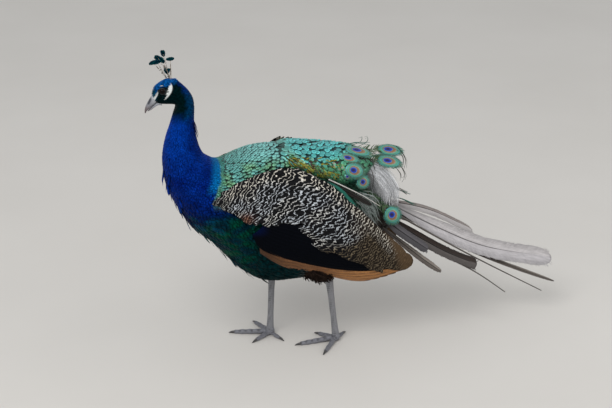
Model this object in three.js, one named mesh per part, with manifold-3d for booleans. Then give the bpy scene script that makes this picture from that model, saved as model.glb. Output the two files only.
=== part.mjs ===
// An Indian peacock in moult, standing, life size. Millimetres, +Z up. The bird faces -X and its
// left side is -Y. The group is moved at the end so that its origin is the middle of its base.

import * as THREE from "three";
import { mergeVertices } from "three/addons/utils/BufferGeometryUtils.js";
import Module from "manifold-3d";

const wasm = await Module();
wasm.setup();

// ---------------------------------------------------------------- driving dimensions

const GAP = 0.35; // clear space between neighbouring pieces
const FLOOR_CUT = 400; // half size of the block that flattens the soles
const RING_SIDES = 20; // sides of the body's rings

// The body, from the face to the root of the tail. Each ring is an oval that stands in the bird's
// middle plane: x and z of its upper (or rear) end, x and z of its lower (or front) end, half width.
const BODY_RINGS = {
  face: [-298.5, 571, -288, 556, 8.5],
  lores: [-293, 587, -281.5, 554.5, 13],
  brow: [-283, 598, -271.5, 553.5, 17],
  crown: [-266, 604, -260, 552.5, 18.5],
  occiput: [-248.5, 598, -254, 550.5, 18.5],
  nape: [-232, 584.5, -253.5, 547.5, 18],
  throat: [-220, 566, -255, 542, 18.5],
  neckTop: [-216.5, 546, -257, 536.5, 19.5],
  neckHigh: [-217.5, 523.5, -261, 524, 21.5],
  neckMiddle: [-217.5, 506.5, -267, 506, 25],
  neckLow: [-214.5, 483, -274.5, 485, 30],
  neckFoot: [-209, 459, -280.5, 461, 36],
  collar: [-200, 441, -283.5, 437, 44],
  shoulder: [-186.5, 430, -282, 406, 54],
  withers: [-174, 423, -274.5, 370, 65],
  breastTop: [-160, 421.5, -256, 331, 77],
  breast: [-146, 426, -231, 289, 88],
  keel: [-126, 437, -188, 249, 96],
  bellyFront: [-95, 447, -138, 191, 101],
  belly: [-45, 448, -83, 156, 102],
  bellyRear: [6, 435, -6, 154, 97],
  back: [58, 410, 60, 164, 84],
  vent: [105, 378, 114, 200, 64],
  rump: [149, 343, 157, 229, 44],
  tailRoot: [180, 311, 188, 250, 24],
};
// Rings after which the body is parted, and the names of the pieces from front to rear.
const BODY_PARTS = [
  ["head", "throat"],
  ["neck_upper", "neckLow"],
  ["neck_lower", "shoulder"],
  ["breast", "keel"],
  ["trunk", "vent"],
  ["rump", null],
];

// Eyes and bill.
const EYE = { x: -279, y: 13, z: 584.5, radius: 6.6 };
const BILL_UPPER = [
  // x and z of the culmen, x and z of the cutting edge, half width
  [-295, 577, -284, 562, 8],
  [-301, 569.5, -290.5, 558.2, 7],
  [-306.5, 561, -297, 552.6, 5.9],
  [-311.3, 552, -304, 546.4, 4.5],
  [-313.8, 543.5, -309.4, 541.4, 2.7],
  [-313.9, 536.8, -312.6, 536.2, 0.9],
];
const BILL_LOWER = [
  [-284, 560, -279, 550.5, 6.8],
  [-290.3, 557.4, -286.6, 551.8, 6],
  [-296.7, 551.9, -294.4, 547.9, 4.9],
  [-303.4, 545.8, -301.8, 542.6, 3.5],
  [-308.4, 541.2, -307.8, 540.2, 1.3],
];

// Crest: bare shafts with a small fan at the end of each.
const CREST_ROOT = { x: -262, z: 603, length: 12, width: 7, height: 5 };
const CREST_SHAFT = 0.8; // half thickness
const CREST_FAN = { length: 8.5, width: 5, thickness: 1.5 }; // half sizes
const CREST_TIPS = [
  // x, y and z of each fan's middle
  [-293, 7, 637],
  [-287, -5, 642],
  [-282, 13, 645],
  [-277, -13, 648],
  [-273, 3, 656],
  [-261, -9, 643],
  [-259, 10, 648],
  [-268, -3, 622],
];

// Legs. The left leg stands behind the right one.
const LEGS = {
  left: {
    side: -1,
    hip: [4, -46, 218],
    hock: [51, -33, 154],
    ankle: [67, -28.5, 16],
    heading: 3.5,
  },
  right: {
    side: 1,
    hip: [-42, 46, 215],
    hock: [-58, 33, 150],
    ankle: [-64.5, 27, 16],
    heading: 15,
  },
};
const THIGH_RINGS = [36, 34, 28, 16]; // half widths from the belly to the hock
const THIGH_DEEP = 1.3; // fore-and-aft size against width
const SHANK_RINGS = [
  // share of the way down, fore-and-aft half size, half width
  [0, 9.5, 7.5],
  [0.07, 8.6, 6.6],
  [0.3, 7.2, 5.2],
  [0.7, 6.8, 5],
  [0.9, 7.6, 6.4],
  [1, 8.6, 7.6],
];
const ANKLE_BALL = { radius: 10.5, height: 9.4 };
// Toes: heading from the bird's own forward, positive outwards, length without claw, thickness.
const TOES = {
  inner: { turn: -50, length: 42, radius: 5.2 },
  middle: { turn: 0, length: 77, radius: 5.6 },
  outer: { turn: 52, length: 57, radius: 5.1 },
  hind: { turn: -137, length: 31, radius: 4.4 },
};
const CLAW = { length: 13, radius: 3.1 };
const TOE_SINK = 0.9; // how far a toe's round underside is cut flat

// Wings, folded on the flanks. They follow the body's front rings and then these rings of their
// own, and are cut to outlines that hold x and z in side view.
const WING_FRONT_RINGS = ["withers", "breastTop", "breast", "keel", "bellyFront", "belly"];
const WING_REAR_RINGS = [
  [6, 437, -4, 160, 100],
  [55, 420, 55, 150, 97],
  [100, 386, 104, 130, 88],
  [150, 346, 150, 115, 76],
  [195, 300, 195, 100, 64],
  [235, 270, 235, 90, 54],
];
const WING_UPPER_EDGE = [
  [-196, 372],
  [-187, 388],
  [-155, 406],
  [-114, 424],
  [-68, 430],
  [-38, 428],
  [6, 412],
  [47, 383],
  [88, 338],
  [109, 310],
  [147, 270],
  [194, 224],
  [214, 203],
];
const WING_TIP = [
  [221, 193],
  [219, 184],
  [208, 177],
];
const COVERT_LOWER_EDGE = [
  [195, 176],
  [165, 185],
  [129, 208],
  [88, 243],
  [60, 252],
  [20, 258],
  [-2, 290],
  [-16, 318],
  [-60, 322],
  [-115, 324],
  [-155, 345],
  [-190, 358],
];
const SECONDARY_LOWER_EDGE = [
  [150, 176],
  [90, 184],
  [30, 200],
  [-45, 232],
  [-97, 258],
  [-120, 285],
  [-127, 318],
];
const PRIMARY_LOWER_EDGE = [
  [190, 167],
  [165, 157],
  [138, 151],
  [100, 151],
  [61, 163],
  [0, 185],
  [-50, 212],
  [-98, 243],
  [-116, 266],
];
const WING_THICKNESS = 9;
const WING_STAND = { coverts: 10, secondaries: 7, primaries: 4 }; // height over the flank
// Train: the scaly feathers that lie over the back, then the long feathers with eye spots.
const TRAIN_RINGS = [
  // x, top z, bottom z, half width
  [-62, 448, 424, 30],
  [-35, 453, 400, 52],
  [10, 447, 380, 62],
  [55, 441, 362, 63],
  [92, 434, 358, 59],
  [118, 426, 362, 48],
  [134, 412, 376, 28],
];
const TRAIN_SHAFT = 1.6; // half thickness
const TRAIN_FEATHERS = [
  // root, middle of the eye spot, half length and half width, roll towards the left side
  { name: "upper", root: [84, 14, 412], eye: [189, 18, 412], size: [26, 15], roll: 38 },
  { name: "lower", root: [84, -8, 400], eye: [183, -12, 398], size: [26, 15], roll: 42 },
  { name: "far", root: [84, 34, 400], eye: [176, 44, 392], size: [25, 15], roll: -30 },
  { name: "hanging", root: [96, -30, 372], eye: [181, -48, 292], size: [19, 18], roll: 68 },
];
// Soft down that stands over the tail's root.
const DOWN_RINGS = [
  [96, 372, 300, 40],
  [130, 382, 288, 46],
  [165, 384, 284, 44],
  [195, 381, 294, 36],
  [213, 366, 316, 20],
];

// Tail: stiff feathers, from root through one or two middle points to the tip, with their widest half width.
const TAIL_QUILL = { width: 2.6, thickness: 1.7 }; // half sizes at the root
const TAIL_VANE_HALF = 0.8; // half thickness at the vane's edge
const TAIL_FEATHERS = [
  { name: "centre", path: [[184, 2, 299], [298, 5, 228], [410, 7, 171], [560, 8, 130]], width: 24, roll: 20 },
  { name: "centre_low", path: [[184, 4, 288], [380, -2, 167], [564, -7, 79]], width: 12, roll: 24 },
  { name: "right_1", path: [[180, 18, 298], [290, 44, 253], [392, 60, 190]], width: 19, roll: 8 },
  { name: "right_2", path: [[176, 20, 288], [270, 52, 234], [350, 76, 170]], width: 18, roll: -18 },
  { name: "right_3", path: [[168, 31, 276], [224, 66, 238], [274, 92, 206]], width: 15, roll: -28 },
  {
    name: "left_1",
    path: [[176, -9, 276], [223, -18, 240], [302, -32, 190], [371, -44, 158]],
    width: 18,
    roll: 26,
  },
  { name: "left_2", path: [[168, -27, 278], [204, -44, 249], [256, -60, 212]], width: 15, roll: 30 },
  { name: "left_3", path: [[168, -34, 270], [216, -62, 216], [282, -80, 165]], width: 10, roll: 30 },
  { name: "bare_shaft_long", path: [[186, -6, 284], [350, -18, 177], [527, -30, 71]], width: 2 },
  {
    name: "bare_shaft_short",
    path: [[182, -14, 258], [250, -29, 209], [359, -50, 148], [432, -60, 93]],
    width: 2,
  },
];

// ---------------------------------------------------------------- materials

const paint = (color, roughness, metalness = 0) =>
  new THREE.MeshStandardMaterial({ color, roughness, metalness });
const FINISH = {
  blue: paint(0x0b3fa8, 0.45, 0.3),
  green: paint(0x0d5a43, 0.5, 0.3),
  scaly: paint(0x3fa58d, 0.45, 0.3),
  barred: paint(0x8f897b, 0.75),
  black: paint(0x070b1c, 0.5),
  rufous: paint(0xb06a35, 0.65),
  greyBrown: paint(0x8d8791, 0.6),
  darkBrown: paint(0x3a2d25, 0.6),
  horn: paint(0x8f939c, 0.45),
  skin: paint(0x7f8592, 0.6),
  down: paint(0x4a3a33, 0.9),
  eyeSpot: paint(0x1f8f78, 0.4, 0.3),
  fluff: paint(0xa8a49e, 0.95),
  eye: paint(0x1c0f0a, 0.08),
};

// ---------------------------------------------------------------- geometry helpers

const vector = (p) => new THREE.Vector3(...p);
const radians = THREE.MathUtils.degToRad;

// A closed surface through rings of the same number of points, with a flat fan on each end.
function skinned(rings) {
  const sides = rings[0].length;
  const points = rings.flat();
  const faces = [];
  for (let r = 0; r + 1 < rings.length; r++) {
    for (let i = 0; i < sides; i++) {
      const j = (i + 1) % sides;
      const [a, b, c, d] = [r * sides + i, r * sides + j, (r + 1) * sides + j, (r + 1) * sides + i];
      faces.push(a, b, c, a, c, d);
    }
  }
  for (const [first, flip] of [[0, true], [(rings.length - 1) * sides, false]]) {
    const middle = new THREE.Vector3();
    for (let i = 0; i < sides; i++) middle.addScaledVector(points[first + i], 1 / sides);
    points.push(middle);
    for (let i = 0; i < sides; i++) {
      const [a, b] = [first + i, first + ((i + 1) % sides)];
      faces.push(points.length - 1, ...(flip ? [b, a] : [a, b]));
    }
  }
  const geometry = new THREE.BufferGeometry().setFromPoints(points);
  geometry.setIndex(faces);
  return geometry;
}

// Six times the volume that a geometry encloses, negative where its faces point inwards.
function signedVolume(geometry) {
  const { position } = geometry.attributes;
  const corner = [0, 1, 2].map(() => new THREE.Vector3());
  let total = 0;
  for (let i = 0; i < geometry.index.count; i += 3) {
    corner.forEach((v, k) => v.fromBufferAttribute(position, geometry.index.getX(i + k)));
    total += corner[0].dot(corner[1].cross(corner[2]));
  }
  return total;
}

// A manifold-3d solid of a closed geometry, with its faces turned outwards.
function solid(geometry) {
  const plain = geometry.clone();
  plain.deleteAttribute("normal");
  plain.deleteAttribute("uv");
  const merged = mergeVertices(plain, 1e-3);
  const faces = new Uint32Array(merged.index.array);
  if (signedVolume(merged) < 0) {
    for (let i = 0; i < faces.length; i += 3) [faces[i], faces[i + 1]] = [faces[i + 1], faces[i]];
  }
  const vertProperties = new Float32Array(merged.attributes.position.array);
  return new wasm.Manifold(new wasm.Mesh({ numProp: 3, vertProperties, triVerts: faces }));
}

// The largest connected piece of a solid, which drops slivers that a cut leaves behind.
function largest(cut) {
  return cut.decompose().sort((a, b) => b.volume() - a.volume())[0];
}

function geometryOf(piece) {
  const { numProp, numVert, vertProperties, triVerts } = piece.getMesh();
  const points = [];
  for (let i = 0; i < numVert; i++) {
    points.push(new THREE.Vector3(...vertProperties.subarray(i * numProp, i * numProp + 3)));
  }
  const geometry = new THREE.BufferGeometry().setFromPoints(points);
  geometry.setIndex([...triVerts]);
  geometry.computeVertexNormals();
  return geometry;
}

function named(name, piece, material) {
  const mesh = new THREE.Mesh(geometryOf(piece), material);
  mesh.name = name;
  return mesh;
}

const joined = (pieces) => pieces.reduce((sum, piece) => sum.add(piece));

// An oval ring in the plane through two ends, as wide as halfWidth on each side of that plane.
function ovalRing([upX, upZ, lowX, lowZ, halfWidth], grow = 0, sides = RING_SIDES) {
  const middle = new THREE.Vector3((upX + lowX) / 2, 0, (upZ + lowZ) / 2);
  const half = new THREE.Vector3(upX - lowX, 0, upZ - lowZ).multiplyScalar(0.5);
  half.setLength(half.length() + grow);
  return Array.from({ length: sides }, (_, i) => {
    const angle = (2 * Math.PI * i) / sides;
    return middle
      .clone()
      .addScaledVector(half, Math.cos(angle))
      .add(new THREE.Vector3(0, (halfWidth + grow) * Math.sin(angle), 0));
  });
}

// A tube along points, with an oval section given for each point and its upright side near "up".
function tube(points, sizes, up, sides = 10) {
  const rings = points.map((point, i) => {
    const before = points[Math.max(i - 1, 0)];
    const along = points[Math.min(i + 1, points.length - 1)].clone().sub(before).normalize();
    const side = new THREE.Vector3().crossVectors(up, along).normalize();
    const top = new THREE.Vector3().crossVectors(along, side).normalize();
    return Array.from({ length: sides }, (_, k) => {
      const angle = (2 * Math.PI * k) / sides;
      return point
        .clone()
        .addScaledVector(side, sizes[i][0] * Math.cos(angle))
        .addScaledVector(top, sizes[i][1] * Math.sin(angle));
    });
  });
  return solid(skinned(rings));
}

// A flat outline in side view, drawn through the bird from y0 to y1.
function sidePlate(outline, y0, y1) {
  const shape = new THREE.Shape(outline.map(([x, z]) => new THREE.Vector2(x, z)));
  const geometry = new THREE.ExtrudeGeometry(shape, { depth: y1 - y0, bevelEnabled: false });
  geometry.rotateX(Math.PI / 2);
  geometry.translate(0, y1, 0);
  return solid(geometry);
}

const mirrored = (piece) => piece.mirror([0, 1, 0]);

// ---------------------------------------------------------------- body

const bodyHull = (grow) =>
  solid(skinned(Object.values(BODY_RINGS).map((ring) => ovalRing(ring, grow))));

// A thin slab in the plane of a ring, which parts the body there.
function partingSlab([upX, upZ, lowX, lowZ]) {
  const slab = new THREE.BoxGeometry(GAP, 3 * FLOOR_CUT, FLOOR_CUT);
  slab.rotateY(Math.atan2(upX - lowX, upZ - lowZ));
  slab.translate((upX + lowX) / 2, 0, (upZ + lowZ) / 2);
  return solid(slab);
}

// The body's pieces from front to rear, each one the stretch between two rings.
function bodyPieces(recesses) {
  const names = Object.keys(BODY_RINGS);
  let first = 0;
  return BODY_PARTS.map(([name, lastRing]) => {
    const last = lastRing ? names.indexOf(lastRing) : names.length - 1;
    const rings = Object.values(BODY_RINGS).slice(first, last + 1);
    let piece = solid(skinned(rings.map((ring) => ovalRing(ring))));
    if (first > 0) piece = piece.subtract(partingSlab(rings[0]));
    if (lastRing) piece = piece.subtract(partingSlab(rings.at(-1)));
    for (const recess of recesses[name] ?? []) piece = piece.subtract(recess);
    first = last;
    return [name, largest(piece)];
  });
}

// ---------------------------------------------------------------- head fittings

const eyeball = (side, grow) =>
  solid(
    new THREE.SphereGeometry(EYE.radius + grow, 10, 6).translate(EYE.x, side * EYE.y, EYE.z),
  );

const mandible = (rings, grow = 0) => solid(skinned(rings.map((r) => ovalRing(r, grow, 10))));

// One crest feather: a bare shaft that opens into a small flat fan.
function crestFeather(tip) {
  const root = new THREE.Vector3(CREST_ROOT.x, tip.y * 0.2, CREST_ROOT.z);
  const along = tip.clone().sub(root).normalize();
  const { length, width, thickness } = CREST_FAN;
  const reach = [-1, 0, 0.55, 1].map((share) =>
    tip.clone().addScaledVector(along, share * length),
  );
  const bare = [CREST_SHAFT, CREST_SHAFT];
  const sizes = [bare, bare, [width * 0.8, thickness], [width, thickness], bare];
  return tube([root, ...reach], sizes, new THREE.Vector3(0, 1, 0), 5);
}

function crest() {
  const pad = new THREE.SphereGeometry(1, 8, 5);
  pad.scale(CREST_ROOT.length, CREST_ROOT.width, CREST_ROOT.height);
  pad.translate(CREST_ROOT.x, 0, CREST_ROOT.z);
  return joined([solid(pad), ...CREST_TIPS.map((tip) => crestFeather(vector(tip)))]);
}

// ---------------------------------------------------------------- legs

const floorBlock = () =>
  solid(new THREE.BoxGeometry(2 * FLOOR_CUT, 2 * FLOOR_CUT, 60).translate(0, 0, -30));

function thigh({ hip, hock }) {
  const [top, bottom] = [vector(hip), vector(hock)];
  const steps = THIGH_RINGS.length - 1;
  const points = THIGH_RINGS.map((_, i) => top.clone().lerp(bottom, i / steps));
  const sizes = THIGH_RINGS.map((r) => [r, r * THIGH_DEEP]);
  return tube(points, sizes, new THREE.Vector3(1, 0, 0), 12);
}

function shank({ hock, ankle }, grow = 0) {
  const [top, bottom] = [vector(hock), vector(ankle)];
  const points = SHANK_RINGS.map(([share]) => top.clone().lerp(bottom, share));
  const sizes = SHANK_RINGS.map(([, deep, wide]) => [wide + grow, deep + grow]);
  return tube(points, sizes, new THREE.Vector3(1, 0, 0));
}

// Direction on the floor for an angle that opens outwards from straight ahead.
function heading(side, degrees) {
  const angle = radians(degrees);
  return new THREE.Vector3(-Math.cos(angle), side * Math.sin(angle), 0);
}

// The toe's middle line, from inside the ankle down to the floor, and its direction there.
function toeLine(leg, { turn, length, radius }) {
  const ahead = heading(leg.side, leg.heading + turn);
  const start = vector(leg.ankle).setZ(ANKLE_BALL.height);
  const rise = [ANKLE_BALL.height, radius * 1.25, radius, radius * 0.8].map((z) => z - TOE_SINK);
  const reach = [0, 0.4, 0.72, 1];
  const points = reach.map((share, i) =>
    start.clone().addScaledVector(ahead, share * length).setZ(rise[i]),
  );
  return { points, ahead };
}

function toe(leg, size) {
  const { radius } = size;
  const sizes = [1, 1, 0.95, 0.75].map((k) => [k * radius, k * radius]);
  return tube(toeLine(leg, size).points, sizes, new THREE.Vector3(0, 0, 1), 7);
}

function claw(leg, size, grow = 0) {
  const { points, ahead } = toeLine(leg, size);
  const root = points.at(-1).clone().addScaledVector(ahead, GAP);
  const { length, radius } = CLAW;
  const line = [0, 0.5, 1].map((share) =>
    root.clone().addScaledVector(ahead, share * length).setZ(root.z - share * share * 2.2),
  );
  const sizes = [1, 0.8, 0.3].map((k) => [k * radius + grow, k * radius + grow]);
  return tube(line, sizes, new THREE.Vector3(0, 0, 1), 6);
}

function foot(leg) {
  const ball = new THREE.SphereGeometry(ANKLE_BALL.radius, 10, 6);
  ball.translate(leg.ankle[0], leg.ankle[1], ANKLE_BALL.height);
  const toes = Object.values(TOES).map((size) => toe(leg, size));
  return joined([solid(ball), ...toes]).subtract(floorBlock()).subtract(shank(leg, GAP));
}

// ---------------------------------------------------------------- wings

// The smooth form that the wings lie on, grown by a distance.
function flankForm(grow) {
  const rings = [...WING_FRONT_RINGS.map((name) => BODY_RINGS[name]), ...WING_REAR_RINGS];
  return solid(skinned(rings.map((ring) => ovalRing(ring, grow))));
}

// A curved layer over the flank that stands "stand" above it, with the given slack all round.
const wingLayer = (stand, slack) =>
  flankForm(stand + slack).subtract(flankForm(stand - WING_THICKNESS - slack));

const WING_OUTLINES = {
  coverts: [...WING_UPPER_EDGE, ...WING_TIP, ...COVERT_LOWER_EDGE],
  secondaries: [
    [-126, 321],
    [-62, 321],
    [-18, 316],
    [-4, 288],
    [18, 256],
    [60, 250],
    [88, 241],
    [129, 206],
    [163, 183],
    [190, 174.6],
    ...SECONDARY_LOWER_EDGE,
  ],
  primaries: [
    [-119, 283],
    [-96, 256],
    [-45, 230],
    [30, 198],
    [90, 182],
    [150, 174],
    [192, 172.6],
    ...PRIMARY_LOWER_EDGE,
  ],
};

function wing(layer, slack = 0) {
  const plate = sidePlate(WING_OUTLINES[layer], -200, -20);
  return wingLayer(WING_STAND[layer], slack).intersect(plate);
}

// ---------------------------------------------------------------- feathers

// Points on a smooth line from root to tip.
const smoothLine = (path, steps) =>
  new THREE.CatmullRomCurve3(path.map(vector)).getPoints(steps);

// A vane's half width along it: narrow quill, full blade, rounded tip.
function bladeWidth(share, quill, full) {
  const opening = THREE.MathUtils.smoothstep(share, 0.06, 0.45);
  const rounding = Math.sqrt(Math.max(1 - Math.max((share - 0.86) / 0.14, 0) ** 2, 0.06));
  return (quill + (full - quill) * opening) * rounding;
}

// A stiff feather: a thin blade with a raised middle, rolled about its own length.
function blade({ path, width, roll = 0 }, grow = 0, steps = 8) {
  const points = smoothLine(path, steps);
  const rings = points.map((point, i) => {
    const along = points[Math.min(i + 1, steps)].clone().sub(points[Math.max(i - 1, 0)]).normalize();
    const up = new THREE.Vector3(0, -Math.sin(radians(roll)), Math.cos(radians(roll)));
    const side = new THREE.Vector3().crossVectors(up, along).normalize();
    const top = new THREE.Vector3().crossVectors(along, side).normalize();
    const share = i / steps;
    const half = bladeWidth(share, TAIL_QUILL.width, width) + grow;
    const ridge = THREE.MathUtils.lerp(TAIL_QUILL.thickness, TAIL_VANE_HALF, share) + grow;
    const rim = TAIL_VANE_HALF + grow;
    const section = [
      [half, rim],
      [0, ridge + rim],
      [-half, rim],
      [-half, -rim],
      [0, -ridge],
      [half, -rim],
    ];
    return section.map(([s, t]) => point.clone().addScaledVector(side, s).addScaledVector(top, t));
  });
  return solid(skinned(rings));
}

// A train feather: a bare shaft and the oval eye spot that it carries.
function trainFeather({ root, eye, size, roll }, grow = 0) {
  const [from, to] = [vector(root), vector(eye)];
  const along = to.clone().sub(from).normalize();
  const up = new THREE.Vector3(0, -Math.sin(radians(roll)), Math.cos(radians(roll)));
  const middle = from.clone().lerp(to, 0.5).add(new THREE.Vector3(0, 0, 3));
  const thin = [TRAIN_SHAFT + grow, TRAIN_SHAFT + grow];
  const shaft = tube([from, middle, to], [thin, thin, thin], up, 6);
  const side = new THREE.Vector3().crossVectors(up, along).normalize();
  const top = new THREE.Vector3().crossVectors(along, side);
  const disc = new THREE.SphereGeometry(1, 12, 4);
  disc.scale(size[1] + grow, size[0] + grow, TRAIN_SHAFT + grow);
  disc.applyMatrix4(new THREE.Matrix4().makeBasis(side, along, top).setPosition(to));
  return shaft.add(solid(disc));
}

// A soft mass through upright oval rings, grown by a distance.
const mass = (rings, grow) =>
  solid(skinned(rings.map(([x, high, low, wide]) => ovalRing([x, high, x, low, wide], grow, 14))));

// ---------------------------------------------------------------- assembly

const bird = new THREE.Group();
const put = (name, piece, material) => bird.add(named(name, piece, material));

const wingLayers = { left: {}, right: {} };
for (const layer of Object.keys(WING_OUTLINES)) {
  wingLayers.left[layer] = wing(layer);
  wingLayers.right[layer] = mirrored(wingLayers.left[layer]);
}
const wingRoom = joined(Object.keys(WING_OUTLINES).map((layer) => wing(layer, GAP)));
const flanks = [wingRoom, mirrored(wingRoom)];
const thighs = { left: thigh(LEGS.left), right: thigh(LEGS.right) };
const hull = bodyHull(GAP);

const bodySkins = {
  head: FINISH.blue,
  neck_upper: FINISH.blue,
  neck_lower: FINISH.blue,
  breast: FINISH.blue,
  trunk: FINISH.green,
  rump: FINISH.green,
};
const headRoom = [eyeball(-1, GAP), eyeball(1, GAP)];
for (const [name, piece] of bodyPieces({ head: headRoom, breast: flanks, trunk: flanks, rump: flanks })) {
  put(name, piece, bodySkins[name]);
}

put("eye_left", eyeball(-1, 0), FINISH.eye);
put("eye_right", eyeball(1, 0), FINISH.eye);
put("bill_upper", largest(mandible(BILL_UPPER).subtract(hull)), FINISH.horn);
const underUpperBill = mandible(BILL_UPPER, GAP);
put("bill_lower", largest(mandible(BILL_LOWER).subtract(hull).subtract(underUpperBill)), FINISH.horn);
put("crest", largest(crest().subtract(hull)), FINISH.blue);

const featherSkin = (name) => {
  if (name.startsWith("train")) return FINISH.eyeSpot;
  return name === "tail_left_1" ? FINISH.darkBrown : FINISH.greyBrown;
};
const wingSkins = { coverts: FINISH.barred, secondaries: FINISH.black, primaries: FINISH.rufous };
for (const [side, layers] of Object.entries(wingLayers)) {
  for (const [layer, piece] of Object.entries(layers)) {
    put(`wing_${side}_${layer}`, largest(piece), wingSkins[layer]);
  }
}

for (const [side, leg] of Object.entries(LEGS)) {
  const wingsAway = thighs[side].subtract(hull).subtract(wingRoom).subtract(mirrored(wingRoom));
  put(`thigh_${side}`, largest(wingsAway.subtract(shank(leg, GAP))), FINISH.down);
  put(`shank_${side}`, shank(leg).subtract(hull), FINISH.skin);
  const clawRoom = joined(Object.values(TOES).map((size) => claw(leg, size, GAP)));
  put(`foot_${side}`, largest(foot(leg).subtract(clawRoom)), FINISH.skin);
  for (const [toeName, size] of Object.entries(TOES)) {
    put(`claw_${side}_${toeName}`, claw(leg, size).subtract(floorBlock()), FINISH.horn);
  }
}

const clearOfWings = (piece) => piece.subtract(wingRoom).subtract(mirrored(wingRoom));
const mound = clearOfWings(mass(TRAIN_RINGS, 0).subtract(hull));
const feathers = new Map();
for (const feather of TRAIN_FEATHERS) {
  const piece = trainFeather(feather).subtract(mass(TRAIN_RINGS, GAP)).subtract(hull);
  feathers.set(`train_feather_${feather.name}`, largest(piece));
}
const tailRoom = [];
for (const feather of TAIL_FEATHERS) {
  feathers.set(`tail_${feather.name}`, largest(blade(feather).subtract(hull)));
  tailRoom.push(blade(feather, GAP));
}
put("train_back", largest(mound), FINISH.scaly);
let down = clearOfWings(mass(DOWN_RINGS, 0).subtract(hull).subtract(mass(TRAIN_RINGS, GAP)));
for (const room of [...TRAIN_FEATHERS.map((f) => trainFeather(f, GAP)), ...tailRoom]) {
  down = down.subtract(room);
}
put("rump_down", largest(down), FINISH.fluff);
for (const [name, piece] of feathers) put(name, piece, featherSkin(name));

// The origin is the middle of the bird's bounding box, at floor level.
const middle = new THREE.Box3().setFromObject(bird).getCenter(new THREE.Vector3());
bird.position.set(-middle.x, -middle.y, 0);

export default bird;
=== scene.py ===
"""The looks of a standing Indian peacock in moult: its skin, feathers and finishes over its solids.

Lengths are in the bird's own millimetres, as in the solids: it faces -X, its left side is -Y, +Z is
up. place() turns them into metres in the shared frame.
"""

import math

import bpy
import numpy as np
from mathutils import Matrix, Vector


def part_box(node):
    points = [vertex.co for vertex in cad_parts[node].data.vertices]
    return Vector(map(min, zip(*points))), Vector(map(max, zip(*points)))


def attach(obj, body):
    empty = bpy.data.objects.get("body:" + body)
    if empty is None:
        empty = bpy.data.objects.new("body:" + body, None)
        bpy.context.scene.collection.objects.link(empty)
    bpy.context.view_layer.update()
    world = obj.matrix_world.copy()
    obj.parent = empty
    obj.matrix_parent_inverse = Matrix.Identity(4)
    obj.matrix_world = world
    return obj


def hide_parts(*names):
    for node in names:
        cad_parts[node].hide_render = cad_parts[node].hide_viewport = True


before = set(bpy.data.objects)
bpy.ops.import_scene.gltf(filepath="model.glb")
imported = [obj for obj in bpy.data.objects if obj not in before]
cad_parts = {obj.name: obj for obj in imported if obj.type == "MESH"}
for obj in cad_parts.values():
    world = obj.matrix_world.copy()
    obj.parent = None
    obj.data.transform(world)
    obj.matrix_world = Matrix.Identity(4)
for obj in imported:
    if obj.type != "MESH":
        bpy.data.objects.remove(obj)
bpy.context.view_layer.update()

# ---------------------------------------------------------------- driving dimensions

# The body's oval rings: x and z of the upper end, x and z of the lower end, half width.
BODY_RINGS = {
    "face": (-298.5, 571, -288, 556, 8.5),
    "lores": (-293, 587, -281.5, 554.5, 13),
    "brow": (-283, 598, -271.5, 553.5, 17),
    "crown": (-266, 604, -260, 552.5, 18.5),
    "occiput": (-248.5, 598, -254, 550.5, 18.5),
    "nape": (-232, 584.5, -253.5, 547.5, 18),
    "throat": (-220, 566, -255, 542, 18.5),
    "neck_top": (-216.5, 546, -257, 536.5, 19.5),
    "neck_high": (-217.5, 523.5, -261, 524, 21.5),
    "neck_middle": (-217.5, 506.5, -267, 506, 25),
    "neck_low": (-214.5, 483, -274.5, 485, 30),
    "neck_foot": (-209, 459, -280.5, 461, 36),
    "collar": (-200, 441, -283.5, 437, 44),
    "shoulder": (-186.5, 430, -282, 406, 54),
    "withers": (-174, 423, -274.5, 370, 65),
    "breast_top": (-160, 421.5, -256, 331, 77),
    "breast": (-146, 426, -231, 289, 88),
    "keel": (-126, 437, -188, 249, 96),
    "belly_front": (-95, 447, -138, 191, 101),
    "belly": (-45, 448, -83, 156, 102),
    "belly_rear": (6, 435, -6, 154, 97),
    "back": (58, 410, 60, 164, 84),
    "vent": (105, 378, 114, 200, 64),
    "rump": (149, 343, 157, 229, 44),
    "tail_root": (180, 311, 188, 250, 24),
}
RING_NUMBER = {name: number for number, name in enumerate(BODY_RINGS)}
WING_FRONT_RINGS = ("withers", "breast_top", "breast", "keel", "belly_front", "belly")
WING_REAR_RINGS = (
    (6, 437, -4, 160, 100),
    (55, 420, 55, 150, 97),
    (100, 386, 104, 130, 88),
    (150, 346, 150, 115, 76),
    (195, 300, 195, 100, 64),
    (235, 270, 235, 90, 54),
)
# The wing's barred upper part in side view: x and z round its edge.
COVERT_OUTLINE = (
    (-201, 371), (-180, 391), (-150, 404), (-119, 417), (-88, 425), (-53, 426), (-27, 422),
    (10, 405), (40, 390), (66, 371), (92, 334), (117, 302), (152, 263), (187, 227), (216, 200),
    (222, 192), (219, 183), (205, 173), (180, 176), (139, 193), (112, 212), (88, 231), (66, 252),
    (40, 250), (9, 259), (-15, 283), (-33, 306), (-45, 322), (-88, 327), (-131, 332), (-162, 351),
)
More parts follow.
